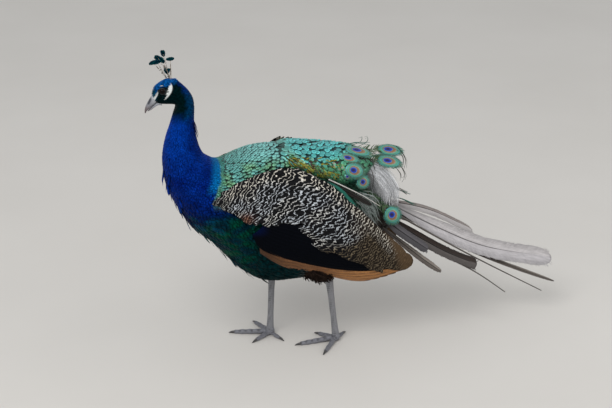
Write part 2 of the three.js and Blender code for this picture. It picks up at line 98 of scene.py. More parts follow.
# The wing's middle line, from its front to its tip, and how far apart its bars are along it.
WING_LINE = ((-205, 372), (-120, 376), (-50, 368), (20, 335), (85, 285), (150, 232), (230, 178))
BAR_SPACING = ((0, 4.8), (50, 6.5), (110, 9.5), (180, 12.0), (260, 11.0), (320, 8.0), (400, 6.6), (540, 6.4))
WING_STAND = {"coverts": 10, "secondaries": 7, "primaries": 4}
TERTIALS_FROM = 132  # behind this x the wing shows only its long barred feathers
TRAIN_RINGS = (
    # x, top z, bottom z, half width
    (-62, 448, 424, 30),
    (-35, 453, 400, 52),
    (10, 447, 380, 62),
    (55, 441, 362, 63),
    (92, 434, 358, 59),
    (118, 426, 362, 48),
    (134, 412, 376, 28),
)
EYE = {"x": -279, "y": 13, "z": 584.5, "radius": 6.6}
BILL_UPPER = (
    (-295, 577, -284, 562, 8),
    (-301, 569.5, -290.5, 558.2, 7),
    (-306.5, 561, -297, 552.6, 5.9),
    (-311.3, 552, -304, 546.4, 4.5),
    (-313.8, 543.5, -309.4, 541.4, 2.7),
    (-313.9, 536.8, -312.6, 536.2, 0.9),
)
BILL_LOWER = (
    (-284, 560, -279, 550.5, 6.8),
    (-290.3, 557.4, -286.6, 551.8, 6),
    (-296.7, 551.9, -294.4, 547.9, 4.9),
    (-303.4, 545.8, -301.8, 542.6, 3.5),
    (-308.4, 541.2, -307.8, 540.2, 1.3),
)
CREST_ROOT = (-262, 0, 603)
CREST_TIPS = (
    # end of the shaft, half length and half width of its fan, and the degrees that the fan leans forward
    (-293, 7, 637, 9, 5, 112), (-287, -5, 641, 9, 5, 104), (-282, 13, 644, 7, 6, 70),
    (-277, -13, 647, 7, 5.5, 30), (-273, 3, 655, 6.5, 6, 10), (-261, -9, 647, 8, 4.5, -88),
    (-258, 10, 641, 7.5, 4.5, -86), (-268, -3, 620, 4.5, 8, -10),
)
LEGS = {
    "left": {
        "side": -1, "hip": (4, -46, 218), "hock": (51, -33, 154), "ankle": (67, -28.5, 16), "heading": 3.5,
    },
    "right": {
        "side": 1, "hip": (-42, 46, 215), "hock": (-58, 33, 150), "ankle": (-64.5, 27, 16), "heading": 15,
    },
}
THIGH_RINGS = (36, 34, 28, 16)
THIGH_DEEP = 1.3
THIGH_FLUFF = 11  # how deep the fluff lies over the skin
SHANK_RINGS = (
    # share of the way down, fore-and-aft half size, half width
    (0, 9.5, 7.5), (0.07, 8.6, 6.6), (0.3, 7.2, 5.2), (0.7, 6.8, 5), (0.9, 7.6, 6.4), (1, 8.6, 7.6),
)
ANKLE_BALL = {"radius": 10.5, "height": 9.4}
TOES = {
    "inner": {"turn": -50, "length": 42, "radius": 5.2},
    "middle": {"turn": 0, "length": 77, "radius": 5.6},
    "outer": {"turn": 52, "length": 57, "radius": 5.1},
    "hind": {"turn": -137, "length": 31, "radius": 4.4},
}
CLAW = {"length": 13, "radius": 3.1}
TOE_SINK = 0.9
TAIL_FEATHERS = {
    # points from root to tip, half width, roll towards the left side, where the tip narrows, colours
    "centre": (((184, 2, 299), (298, 5, 228), (410, 7, 171), (560, 8, 130)), 26, 34, 0.88, "pale"),
    "centre_low": (((184, 4, 288), (380, -2, 167), (564, -7, 79)), 7, 24, 0.7, "ash"),
    "right_1": (((180, 18, 298), (290, 44, 253), (392, 60, 190)), 22, 10, 0.86, "mist"),
    "right_2": (((176, 20, 288), (270, 52, 234), (350, 76, 170)), 18, -18, 0.86, "grey"),
    "right_3": (((168, 31, 276), (224, 66, 238), (274, 92, 206)), 15, -28, 0.86, "grey"),
    "left_1": (((176, -9, 276), (223, -18, 240), (302, -32, 190), (371, -44, 158)), 17, 26, 0.95, "brown"),
    "left_2": (((168, -27, 278), (204, -44, 249), (256, -60, 212)), 14, 30, 0.86, "slate"),
    "left_3": (((164, -36, 260), (233, -60, 202), (280, -81, 168)), 9.5, 30, 0.62, "ash"),
}
BARE_SHAFTS = {
    "bare_shaft_long": ((186, -6, 284), (350, -18, 177), (527, -30, 71)),
    "bare_shaft_short": ((182, -14, 258), (250, -29, 209), (359, -50, 148), (432, -60, 93)),
}

# The camera, at the photograph's place.
CAMERA = {"place": (-557.49, -2664.16, 1524.86), "azimuth": -12, "elevation": 24, "lens": 85}

# How deep the feathers lie over the skin, at the head, the neck and the body.
COAT_DEPTH = {"head": 1.0, "neck": 2.2, "body": 4.0}

# ---------------------------------------------------------------- colours (linear)

COBALT = (0.005, 0.115, 0.40)
ROYAL = (0.0015, 0.045, 0.34)
NAVY = (0.001, 0.016, 0.15)
TEAL_BLUE = (0.003, 0.10, 0.17)
CYAN = (0.003, 0.17, 0.42)
SOOT = (0.0015, 0.010, 0.014)
GREEN_BLACK = (0.001, 0.013, 0.015)
BOTTLE = (0.001, 0.050, 0.028)
UMBER = (0.020, 0.015, 0.011)
MOSS = (0.012, 0.050, 0.030)
TURQUOISE = (0.10, 0.32, 0.29)
LEAF = (0.13, 0.29, 0.12)
TEAL = (0.09, 0.43, 0.41)
GRASS = (0.06, 0.22, 0.085)
GOLD = (0.28, 0.25, 0.02)
MAROON = (0.05, 0.018, 0.02)
PINK_GREY = (0.42, 0.33, 0.28)
BAR_BLACK = (0.006, 0.006, 0.007)
CREAM = (0.60, 0.56, 0.48)
BLUISH_WHITE = (0.46, 0.49, 0.52)
BUFF = (0.16, 0.125, 0.080)
TIP_BROWN = (0.110, 0.070, 0.038)
BARE_WHITE = (0.66, 0.68, 0.66)

# ---------------------------------------------------------------- numbers


def place(points):
    """The bird's millimetres as metres in the frame."""
    return (np.asarray(points, float) + (SHIFT_X, 0, 0)) * 0.001


eye_low, eye_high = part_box("eye_left")
SHIFT_X = (eye_low.x + eye_high.x) * 500 - EYE["x"]


def smooth(value, low, high):
    share = np.clip((value - low) / (high - low), 0, 1)
    return share * share * (3 - 2 * share)


def mixed(a, b, share):
    share = np.asarray(share)[..., None]
    return np.asarray(a) * (1 - share) + np.asarray(b) * share


def unit(vectors):
    return vectors / np.maximum(np.linalg.norm(vectors, axis=-1, keepdims=True), 1e-9)


def jitter(random, size, count):
    """Random numbers between a size and its opposite."""
    return random.uniform(-size, size, count)


def side_view(points):
    """The x and the z of points."""
    return points[..., 0], points[..., 2]


def together(*values):
    """Arrays as the last axis of one."""
    return np.stack(np.broadcast_arrays(*values), -1)


def layered(colour, *coats):
    """A colour with others laid over it in turn, each by its share."""
    for tint, share in coats:
        colour = mixed(colour, tint, share)
    return colour


def circle(steps):
    """Angles spread evenly over a full turn."""
    return np.linspace(0, 2 * np.pi, steps, endpoint=False)


def curve(points, steps):
    """Points on a smooth line through a few given ones."""
    points = np.array(points, float)
    return catmull(points, np.linspace(0, len(points) - 1, steps))


def bows(starts, middles, ends, steps):
    """Smooth lines, each from its start by its middle to its end."""
    return np.array([curve(points, steps) for points in np.stack([starts, middles, ends], 1)])


def catmull(values, s):
    """Values at fractional places along a list, on a smooth line that goes on straight at its ends."""
    last = len(values) - 1
    inside = np.clip(s, 0, last)
    i = np.minimum(inside.astype(int), last - 1)
    t = (inside - i)[..., None]
    a, b, c, d = (values[np.clip(i + k, 0, last)] for k in (-1, 0, 1, 2))
    line = b + 0.5 * t * ((c - a) + t * ((2 * a - 5 * b + 4 * c - d) + t * (3 * (b - c) + d - a)))
    beyond = (s - inside)[..., None]
    step = np.where(beyond < 0, values[1] - values[0], values[-1] - values[-2])
    return line + beyond * step


def nearest_of(points, spots):
    """The number of the spot that is nearest to each point."""
    chunks = np.array_split(points, 40)
    return np.concatenate([np.linalg.norm(chunk[:, None] - spots, axis=2).argmin(1) for chunk in chunks])


def inside_outline(points, outline):
    """Which points lie in a closed outline, in side view."""
    x, z = side_view(points)
    found = np.zeros(x.shape, bool)
    for (x0, z0), (x1, z1) in zip(outline, np.roll(outline, -1, axis=0)):
        crosses = (z0 > z) != (z1 > z)
        found ^= crosses & (x < x0 + (z - z0) * (x1 - x0) / ((z1 - z0) or 1e-9))
    return found


# ---------------------------------------------------------------- forms


class Form:
    """A smooth surface through oval rings. A place on it is how many rings along, and the angle
    round from the ring's upper end, positive towards the bird's right side."""

    def __init__(self, centres, ups, sides):
        self.rings = np.hstack([centres, ups, sides]).astype(float)
        self.last = len(self.rings) - 1

    def at(self, s, turn, height=0.0):
        s, turn, height = np.broadcast_arrays(np.asarray(s, float), turn, height)
        ring = catmull(self.rings, s)
        centre, up, side = ring[..., :3], ring[..., 3:6], ring[..., 6:]
        up = up + unit(up) * height[..., None]
        side = side + unit(side) * height[..., None]
        return centre + up * np.cos(turn)[..., None] + side * np.sin(turn)[..., None]

    def steps(self, s, turn):
        """How a place moves for one ring along, and for one radian round."""
        d = 0.02
        along = (self.at(s + d, turn) - self.at(s - d, turn)) / (2 * d)
        around = (self.at(s, turn + d) - self.at(s, turn - d)) / (2 * d)
        return along, around

    def unwrapped(self, s, turn):
        """A place on the form's flat unwrap."""
        return np.stack([0.02 + 0.96 * s / self.last, 0.02 + 0.96 * (turn / (2 * np.pi) % 1)], -1)


def oval_form(rings):
    rings = np.array(rings, float)
    flat = np.zeros(len(rings))
    high = np.stack([rings[:, 0], flat, rings[:, 1]], 1)
    low = np.stack([rings[:, 2], flat, rings[:, 3]], 1)
    wide = np.stack([flat, rings[:, 4], flat], 1)
    return Form((high + low) / 2, (high - low) / 2, wide)


def upright(rings):
    return [(x, high, x, low, wide) for x, high, low, wide in rings]


def thigh_form(leg):
    top, bottom = np.array(leg["hip"], float), np.array(leg["hock"], float)
    shares = np.linspace(0, 1, len(THIGH_RINGS))[:, None]
    radii = np.array(THIGH_RINGS, float)[:, None]
    along = unit(bottom - top)
    side = unit(np.cross((1, 0, 0), along))
    front = np.cross(along, side)
    return Form(top + (bottom - top) * shares, front * radii * THIGH_DEEP, side * radii)


BODY = oval_form(list(BODY_RINGS.values()))
FLANK = oval_form([BODY_RINGS[name] for name in WING_FRONT_RINGS] + list(WING_REAR_RINGS))
TRAIN = oval_form(upright(TRAIN_RINGS))


SEARCH_ROUNDS = 12
SEARCH_STRIDE = 60  # about the millimetres between two rings of the flank


def on_flank(x, z, stand, side):
    """The flank's point at a place in side view, on one side of the bird."""
    x, z = np.broadcast_arrays(np.asarray(x, float), z)
    s = np.interp(x, FLANK.rings[:, 0], np.arange(FLANK.last + 1))
    for _ in range(SEARCH_ROUNDS):
        ring = catmull(FLANK.rings, s)
        rise = np.clip((z - ring[..., 2]) / ring[..., 5], -0.995, 0.995)
        off = x - (ring[..., 0] + ring[..., 3] * rise)
        s = np.clip(s + off / SEARCH_STRIDE, 0, FLANK.last)
    return FLANK.at(s, side * np.arccos(rise), stand)


# ---------------------------------------------------------------- markings

# Where the neck's blue ends and the scaly back starts: x at heights z.
BACK_BORDER = ((370, -196), (381, -189), (395, -183), (403, -176), (413, -174), (423, -170), (436, -165))


def back_border(points):
    """How far behind the border between the neck's blue and the scaly back a point lies."""
    return points[..., 0] - np.interp(points[..., 2], *zip(*BACK_BORDER))


def patchiness(points, size, seed=0.0):
    """A soft irregular pattern from 0 to 1, with patches about "size" millimetres across."""
    x, y, z = (points[..., k] / size for k in range(3))
    long_waves = np.sin(x * 1.7 + 2.1 * np.sin(z * 1.1 + seed))
    return 0.5 + 0.25 * (long_waves + np.sin(z * 2.3 + 1.7 * np.sin(y * 1.3 + x + seed)))


def neck_colour(points):
    """The neck: royal blue in front and on the sides, with painted shade as navy behind and darker blue low
    down, and soft darker patches.
    """
    x, z = side_view(points)
    rear = smooth(x, -246, -222) * smooth(z, 430, 470)
    low = smooth(-z, -485, -405)
    # The navy behind and the darker blue low down are painted shade.
    return layered(
        ROYAL,
        (NAVY, np.clip(0.8 * rear + 0.4 * patchiness(points, 9.0) ** 2, 0, 1)),
        ((0.001, 0.012, 0.14), low * (0.55 + 0.4 * patchiness(points, 14.0, 2.0))),
    )


# The side of the head in side view: where the blue nape starts, x at heights z, and where the
# crown's cobalt starts, z at places x.
NAPE_LINE = ((520, -241), (548, -232), (570, -233), (590, -241), (602, -252))
CROWN_LINE = ((-292, 570), (-286, 586), (-275, 592), (-262, 594), (-240, 602))


def head_colour(points):
    """The head: cobalt crown and forehead, blue nape, and a green-black side down to the neck."""
    x, y, z = points[..., 0], np.abs(points[..., 1]), points[..., 2]
    nape_line = np.interp(z, *zip(*NAPE_LINE))
    crown_line = np.interp(x, *zip(*CROWN_LINE))
    nape = smooth(x + 5 * patchiness(points, 5.0), nape_line - 4, nape_line + 8)
    nape_blue = mixed((0.001, 0.050, 0.15), (0.001, 0.035, 0.24), smooth(z, 566, 586))
    forehead = smooth(-x, 286, 292) * smooth(z, 562, 572) * (1 - smooth(z, 580, 588))
    colour = layered(
        GREEN_BLACK,
        (nape_blue, nape),
        (COBALT, smooth(z, crown_line - 3, crown_line + 5)),
        (TEAL_BLUE, forehead * (1 - smooth(y, 9, 14))),
    )
    ribs = 0.5 + 0.5 * np.sin((z + 0.4 * x) * 2 * np.pi / 5.5)
    flecks = smooth(patchiness(points, 2.6, 1.0), 0.45, 0.9)
    return colour * (1 - 0.35 * ribs * nape)[..., None] * (1 - 0.45 * flecks)[..., None]


def scaly_back_colour(points):
    """The mantle's scales: turquoise, leaf green beside the wing, with dark patches, brightest on top."""
    y, z = np.abs(points[..., 1]), points[..., 2]
    beside_wing = smooth(y, 30, 56) * smooth(patchiness(points, 11.0, 4.0), 0.1, 0.7)
    top = smooth(z, 424, 446)
    dark_patch = smooth(patchiness(points, 10.0, 9.0), 0.35, 0.75) * (1 - top)
    return layered(
        TURQUOISE,
        (LEAF, 0.8 * beside_wing),
        ((0.20, 0.48, 0.45), 0.7 * top),
        ((0.04, 0.17, 0.13), 0.5 * dark_patch),
    )


def body_colour(points):
    """The colour of the skin and of the feathers over it."""
    x, z = side_view(points)
    lower = -z + 0.35 * np.maximum(x + 215, 0)
    green = smooth(lower, -345, -300) * smooth(x, -245, -195)
    streak = smooth(-z, -345, -325) * (1 - smooth(-z, -300, -260)) * (1 - smooth(x, -200, -150))
    border = back_border(points)
    collar = smooth(border, -26, -6) * (1 - smooth(border, 1, 8)) * smooth(z, 378, 402)
    scaly = smooth(border, -2, 2) * smooth(z, 350, 380) * (1 - smooth(x, -20, 20))
    upper_neck = smooth(z + 8 * patchiness(points, 8.0, 5.0), 512, 544)
    return layered(
        neck_colour(points),
        # Painted shade: the navy over the lower breast goes on from the neck's.
        (NAVY, 0.9 * smooth(lower, -400, -350)),
        ((0.001, 0.006, 0.028), 0.9 * smooth(lower, -365, -310)),
        (BOTTLE, green * (0.35 + 0.65 * smooth(patchiness(points, 12.0), 0.3, 0.75))),
        ((0.001, 0.05, 0.10), 0.8 * streak * smooth(patchiness(points, 9.0, 6.0), 0.5, 0.8)),
        (GREEN_BLACK, smooth(x, -150, -95) * smooth(-z, -360, -300)),
        (UMBER, smooth(x, -25, 30) * smooth(-z, -380, -320)),
        (MOSS, smooth(x, -20, 20) * smooth(z, 285, 330)),
        (CYAN, 0.85 * collar * (1 - smooth(z, 448, 470))),
        (scaly_back_colour(points), scaly),
        (head_colour(points), upper_neck),
    )


# The bare white skin of the face: stripes through points in side view, with the half width at each.
FACE_STRIPES = (
    ((-297.6, 560.4, 1.3), (-293.4, 570, 1.8), (-289.8, 578, 1.8), (-287.2, 585, 1.2)),
    ((-285, 591.6, 0.4), (-282.4, 593.5, 0.9), (-279.4, 594.2, 0.9), (-276, 592.9, 0.4)),
    (
        (-263.6, 598.2, 1.4), (-263, 593.6, 3.3), (-265, 589.6, 5.2), (-265.8, 585, 4.5),
        (-268, 579.8, 3.7), (-272, 573.6, 3.1), (-275.4, 568.8, 2.1), (-277.4, 566, 1.1),
    ),
)


def bare_skin(points):
    """How far a point of the head is inside its bare white stripes, from 0 to 1."""
    x, z = side_view(points)
    most = np.zeros(x.shape)
    for stripe in FACE_STRIPES:
        for px, pz, half in curve(stripe, 24):
            most = np.maximum(most, 1 - smooth(np.hypot(x - px, z - pz), half - 0.4, half + 0.5))
    return most * (np.abs(points[..., 1]) > 6)


def from_eye(points):
    """How far points are from the middle of an eye, seen from the side."""
    x, z = side_view(points)
    return np.hypot(x - EYE["x"], z - EYE["z"])


def skin_colour(points):
    """The skin: the coat's colour, with a black ring round the eye and the face's white stripes."""
    face = smooth(points[..., 2], 548, 556)
    off = from_eye(points)
    return layered(
        body_colour(points),
        (np.multiply(SOOT, 0.5), face * (1 - smooth(off, 10, 14))),
        (BARE_WHITE, face * bare_skin(points) * smooth(off, 8.4, 9.4)),
    )


# ---------------------------------------------------------------- meshes


BAKE_PATCH = 0.0015  # half the size of a feather's patch on the unwrap


class Batch:
    """Many parts of one shape: points (parts, points, 3), the faces of one part, and what paints
    them. "vane" is the share across (-1 to 1), the share along (0 to 1) and a seed."""

    def __init__(self, points, quads, tris, vane, measure, colour, root, heart=(0, 0, 0)):
        self.points = points
        self.heart = np.broadcast_to(heart, points.shape)
        self.quads = np.array(quads, int).reshape(-1, 4)
        self.tris = np.array(tris, int).reshape(-1, 3)
        self.vane = np.broadcast_to(vane, points.shape)
        self.measure = np.broadcast_to(measure, points.shape)
        self.colour = np.broadcast_to(colour, points.shape)
        self.bake = root[:, None, :] + BAKE_PATCH * self.vane[..., :2]
        if self.volume() < 0:
            self.quads = self.quads[:, ::-1]
            self.tris = self.tris[:, ::-1]

    def volume(self):
        split = np.vstack([self.tris, self.quads[:, [0, 1, 2]], self.quads[:, [0, 2, 3]]])
        local = self.points - self.points.mean(1, keepdims=True)
        a, b, c = (local[:, split[:, k]] for k in range(3))
        return np.einsum("nfk,nfk->", a, np.cross(b, c))


def stacked(batches, faces_of, width):
    """The faces of every part of every batch, numbered through the whole mesh."""
    out = []
    first = 0
    for batch in batches:
        parts, points = batch.points.shape[:2]
        shift = first + points * np.arange(parts)[:, None, None]
        out.append((faces_of(batch)[None] + shift).reshape(-1, width))
        first += parts * points
    return np.vstack(out)


def linked(name, data):
    """A new object in the scene."""
    made = bpy.data.objects.new(name, data)
    bpy.context.scene.collection.objects.link(made)
    return made


def add_layer(mesh, title, values):
    """Values of the points, for a finish to read: an opaque colour, or any three numbers."""
    if title in ("Marking", "Heart"):
        kind, field, values = "FLOAT_COLOR", "color", np.insert(values, 3, 1.0, axis=1)
    else:
        kind, field = "FLOAT_VECTOR", "vector"
    mesh.attributes.new(title, kind, "POINT").data.foreach_set(field, values.astype(np.float32).ravel())


def mesh_piece(name, points, faces, finish, nodes, layers, bake=None):
    """A piece of the bird. "faces" is a list of arrays, each of faces with one number of corners."""
    mesh = bpy.data.meshes.new(name)
    mesh.vertices.add(len(points))
    mesh.vertices.foreach_set("co", place(points).astype(np.float32).ravel())
    sizes = np.concatenate([np.full(len(f), f.shape[1]) for f in faces])
    corners = np.concatenate([f.ravel() for f in faces]).astype(np.int32)
    mesh.loops.add(len(corners))
    mesh.loops.foreach_set("vertex_index", corners)
    mesh.polygons.add(len(sizes))
    starts = np.concatenate([[0], np.cumsum(sizes)[:-1]])
    mesh.polygons.foreach_set("loop_start", starts.astype(np.int32))
    mesh.update(calc_edges=True)
    mesh.shade_smooth()
    for title, values in layers.items():
        add_layer(mesh, title, values)
    if bake is not None:
        unwrap = mesh.uv_layers.new(name="OFBake")
        unwrap.data.foreach_set("uv", bake[corners].astype(np.float32).ravel())
    mesh.materials.append(FINISHES[finish])
    made = linked(name, mesh)
    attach(made, "root")
    if nodes:
        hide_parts(*nodes)


def coat_piece(name, batches, finish, nodes=()):
    """Batches of feathers as one piece."""
    points, bake, *layers = (
        np.vstack([getattr(b, key).reshape(-1, getattr(b, key).shape[-1]) for b in batches])
        for key in ("points", "bake", "colour", "heart", "vane", "measure")
    )
    faces = [stacked(batches, lambda b: b.quads, 4), stacked(batches, lambda b: b.tris, 3)]
    titled = dict(zip(("Marking", "Heart", "Vane", "Measure"), layers))
    mesh_piece(name, points, faces, finish, nodes, titled, bake)


class VaneShape:
    """A thin closed vane: its width at shares of its length, and its points across."""

    def __init__(self, widths, across=(-1, 0, 1)):
        rows = [(0, 0, 0, 0)]
        for t, w in widths:
            rows += [(t, x * w, x, 0 if abs(x) == 1 else 1) for x in across]
            rows.append((t, 0, 0, -1))
        rows.append((1, 0, 0, 0))
        self.t, self.x, self.norm, self.rise = np.array(rows, float).T
        ring = len(across) + 1
        tip = len(rows) - 1
        after = [(k + 1) % ring for k in range(ring)]
        self.quads = [
            (first + k, first + after[k], first + ring + after[k], first + ring + k)
            for first in range(1, 1 + (len(widths) - 1) * ring, ring)
            for k in range(ring)
        ]
        last = tip - ring
        self.tris = [(0, 1 + after[k], 1 + k) for k in range(ring)]
        self.tris += [(tip, last + k, last + after[k]) for k in range(ring)]


TINY = VaneShape([(0.35, 0.9), (0.75, 0.85)])
SLIM = VaneShape([(0.3, 0.8), (0.65, 1.0), (0.88, 0.62)])
ROUND = VaneShape([(0.25, 0.7), (0.55, 1.0), (0.8, 0.93), (0.94, 0.6)])
BROAD = VaneShape([(0.2, 0.6), (0.45, 0.95), (0.7, 1.0), (0.86, 0.84), (0.95, 0.55)], (-1, -0.5, 0, 0.5, 1))


def rows_on(form, start, end, spacing, random, stretch=1.0):
    """Staggered rows of places over a form, "spacing" apart, which may change along it."""
    found = []
    s = start
    row = 0
    probe = circle(48)
    while s < end:
        gap = spacing(s) if callable(spacing) else spacing
        along, around = form.steps(np.full(48, s), probe)
        count = max(6, int(np.linalg.norm(around, axis=1).mean() * 2 * np.pi / gap))
        turn = (np.arange(count) + 0.5 * (row % 2) + jitter(random, 0.22, count)) * 2 * np.pi / count
        step = gap * stretch / np.linalg.norm(along, axis=1).mean()
        found.append(np.stack([s + step * jitter(random, 0.25, count), turn], 1))
        s += step
        row += 1
    places = np.vstack(found)
    places[:, 1] = (places[:, 1] + np.pi) % (2 * np.pi) - np.pi
    return places[:, 0], places[:, 1]


def lay(form, s, turn, length, width, shape, random, *, height, colour, swing=0.0, toward=None, crown=0.0,
        thick=0.25, shade=0.2, heart=(0, 0, 0), by_width=False):
    """Vanes over a form. "height" is how far root and tip stand off it, "toward" a direction that
    they point in, and "colour" and "heart" give the colours of a point. "Measure" is in millimetres
    across and along, or, by width, in half widths across, from the root and from the tip."""
    count = len(s)
    along, around = form.steps(s, turn)
    along_size, around_size = np.linalg.norm(along, axis=1), np.linalg.norm(around, axis=1)
    swing = np.broadcast_to(swing, count).astype(float)
    if toward is not None:
        swing = swing + np.arctan2(
            (toward * around).sum(1) / around_size,
            (toward * along).sum(1) / along_size,
        )
    seed = random.uniform(0, 1, count)[:, None]
    per_vane = (length, width, *height, np.cos(swing), np.sin(swing))
    length, width, root_height, tip_height, cos, sin = (
        np.broadcast_to(value, count)[:, None] for value in per_vane
    )
    a, b = length * shape.t, width * shape.x
    rise = root_height + (tip_height - root_height) * shape.t
    rise = rise - crown * np.abs(shape.norm) * shape.t + thick * shape.rise
    points = form.at(
        s[:, None] + (a * cos - b * sin) / along_size[:, None],
        turn[:, None] + (a * sin + b * cos) / around_size[:, None],
        rise,
    )
    vane = together(shape.norm, shape.t, seed)
    third = seed
    if by_width:
        a, b, third = a / width, b / width, (length - a) / width
    measure = together(b, a, third)
    if callable(heart):
        heart = heart(points)
    tint = colour(points) * (1 + shade * jitter(random, 1, (count, 1, 1)))
    return Batch(points, shape.quads, shape.tris, vane, measure, tint, form.unwrapped(s, turn), heart)


def ribbons(paths, up, width, thick, colour, roots, random, shade=0.15):
    """Thin closed strips along paths (parts, steps, 3). "width" and "thick" are half sizes."""
    count, steps = paths.shape[:2]
    tangent = unit(np.gradient(paths, axis=1))
    up = np.broadcast_to(up, paths.shape)
    side = unit(np.cross(up, tangent))
    top = np.cross(tangent, side)
    width = np.broadcast_to(width, (count, steps))[..., None]
    thick = np.broadcast_to(thick, (count, steps))[..., None]
    offsets = (-side * width, top * thick, side * width, -top * thick)
    section = np.stack([paths + offset for offset in offsets], 2)
    points = section.reshape(count, steps * 4, 3)
    quads = [
        (r * 4 + k, r * 4 + (k + 1) % 4, (r + 1) * 4 + (k + 1) % 4, (r + 1) * 4 + k)
        for r in range(steps - 1)
        for k in range(4)
    ]
    last = (steps - 1) * 4
    quads += [(3, 2, 1, 0), (last, last + 1, last + 2, last + 3)]
    seeds = random.uniform(0, 1, count)[:, None]
    share = np.repeat(np.linspace(0, 1, steps), 4)
    across = np.tile([-1, 0, 1, 0], steps)
    vane = together(across, share, seeds)
    reach = np.linalg.norm(np.diff(paths, axis=1), axis=2).sum(1)[:, None]
    measure = together(across * np.repeat(width[..., 0], 4, 1), share * reach, seeds)
    tint = colour * (1 + shade * jitter(random, 1, (count, 1, 1)))
    return Batch(points, quads, [], vane, measure, tint, roots)


def sheets(grids, thick, colour, roots, seeds, across, along):
    """Thin closed sheets from grids (parts, steps along, steps across, 3). "thick" is a half size,
    for each step across. "across" and "along" are the shares and millimetres of the grid's lines."""
    count, long, wide = grids.shape[:3]
    normal = unit(np.cross(np.gradient(grids, axis=1), np.gradient(grids, axis=2)))
    lift = normal * np.broadcast_to(thick, (count, long, wide))[..., None]
    both = np.stack([grids + lift, grids - lift], 1)
    points = both.reshape(count, -1, 3)
    number = np.arange(2 * long * wide).reshape(2, long, wide)
    top, under = number
    quads = np.stack([top[:-1, :-1], top[1:, :-1], top[1:, 1:], top[:-1, 1:]], -1).reshape(-1, 4)
    below = np.stack([under[:-1, :-1], under[:-1, 1:], under[1:, 1:], under[1:, :-1]], -1).reshape(-1, 4)
    sides = (number[:, 0, :], number[:, 1:, -1], number[:, -1, -2::-1], number[:, -2:0:-1, 0])
    rim = np.concatenate([line.T for line in sides])
    nexts = np.roll(rim, -1, axis=0)
    edge = np.stack([rim[:, 0], nexts[:, 0], nexts[:, 1], rim[:, 1]], -1)
    share_across, mm_across = across
    share_along, mm_along = along

    def painted(wide_values, long_values):
        """Values across and along the grid, for both faces of the sheets."""
        once = together(wide_values, np.asarray(long_values)[..., None], np.zeros((count, long, wide)))
        once[..., 2] = seeds[:, None, None]
        return np.concatenate([once, once], 1).reshape(count, -1, 3)

    vane = painted(share_across, share_along)
    measure = painted(mm_across, mm_along)
    if callable(colour):
        colour = colour(points)
    return Batch(points, np.vstack([quads, below, edge]), [], vane, measure, colour, roots)


# ---------------------------------------------------------------- finishes


class Signal:
    """A node's output. Sums and products with it make the nodes that work them out."""

    def __init__(self, finish, socket):
        self.finish = finish
        self.socket = socket

    def __add__(self, other):
        return self.finish.maths("ADD", self, other)

    def __sub__(self, other):
        return self.finish.maths("SUBTRACT", self, other)

    def __mul__(self, other):
        return self.finish.maths("MULTIPLY", self, other)

    def __truediv__(self, other):
        return self.finish.maths("DIVIDE", self, other)

    def __abs__(self):
        return self.finish.maths("ABSOLUTE", self)


class Finish:
    """A node material. Values that are the same all over are set on the shader's own sockets."""

    def __init__(self, name, **constants):
        self.material = bpy.data.materials.new(name)
        self.material.use_nodes = True
        self.tree = self.material.node_tree
        self.shader = self.tree.nodes["Principled BSDF"]
        for socket, value in constants.items():
            self.shader.inputs[socket.replace("_", " ").title().replace("Ior", "IOR")].default_value = value

    def feed(self, socket, value):
        if isinstance(value, Signal):
            self.tree.links.new(value.socket, socket)
        elif value is not None:
            socket.default_value = value

    def node(self, kind, *inputs, output=0, **settings):
        """An output of a new node, with its inputs fed in order."""
        made = self.tree.nodes.new("ShaderNode" + kind)
        for name, value in settings.items():
            setattr(made, name, value)
        for socket, value in zip(made.inputs, inputs):
            self.feed(socket, value)
        return Signal(self, made.outputs[output])

    def maths(self, operation, *values):
        return self.node("Math", *values, operation=operation)

    def ranged(self, value, low, high, to_low=0.0, to_high=1.0):
        """A smooth step from one number to another while the value goes from low to high."""
        return self.node("MapRange", value, low, high, to_low, to_high, interpolation_type="SMOOTHSTEP")

    def mix(self, share, a, b, blend="MIX"):
        """A share from one colour to another."""
        colours = [(*value, 1) if isinstance(value, tuple) else value for value in (a, b)]
        return self.node("Mix", share, *[None] * 5, *colours, output=2, data_type="RGBA", blend_type=blend)

    def bright(self, colour, factor):
        """A colour times a number."""
        return self.node("VectorMath", colour, None, None, factor, operation="SCALE")

    def length(self, x, y):
        return self.node("VectorMath", self.joined(x, y, 0.0), operation="LENGTH", output="Value")

    def layer(self, name):
        """One of the mesh's layers of values."""
        return self.node("Attribute", attribute_name=name, output="Vector")

    def split(self, name):
        """The three numbers of one of the mesh's layers."""
        parts = self.node("SeparateXYZ", self.layer(name)).socket.node.outputs
        return [Signal(self, part) for part in parts]

    def joined(self, x, y, z):
        return self.node("CombineXYZ", x, y, z)

    def noise(self, vector, scale, detail):
        return self.node("TexNoise", vector, None, scale, detail, output="Fac")

    def bump(self, height, strength, distance):
        made = self.tree.nodes.new("ShaderNodeBump")
        made.inputs["Strength"].default_value = strength
        made.inputs["Distance"].default_value = distance
        self.feed(made.inputs["Height"], height)
        self.tree.links.new(made.outputs[0], self.shader.inputs["Normal"])

    def done(self, colour):
        self.feed(self.shader.inputs["Base Color"], colour)
        return self.material


def barbs(finish, x, y, seed, pitch, slant=0.8, width=0.12):
    """Fine lines, from 0 to 1, that run out and forward from a feather's middle."""
    out = abs(x)
    return finish.noise(finish.joined(out * width, (y - out * slant) / pitch, seed * 40.0), 1.0, 1.0)


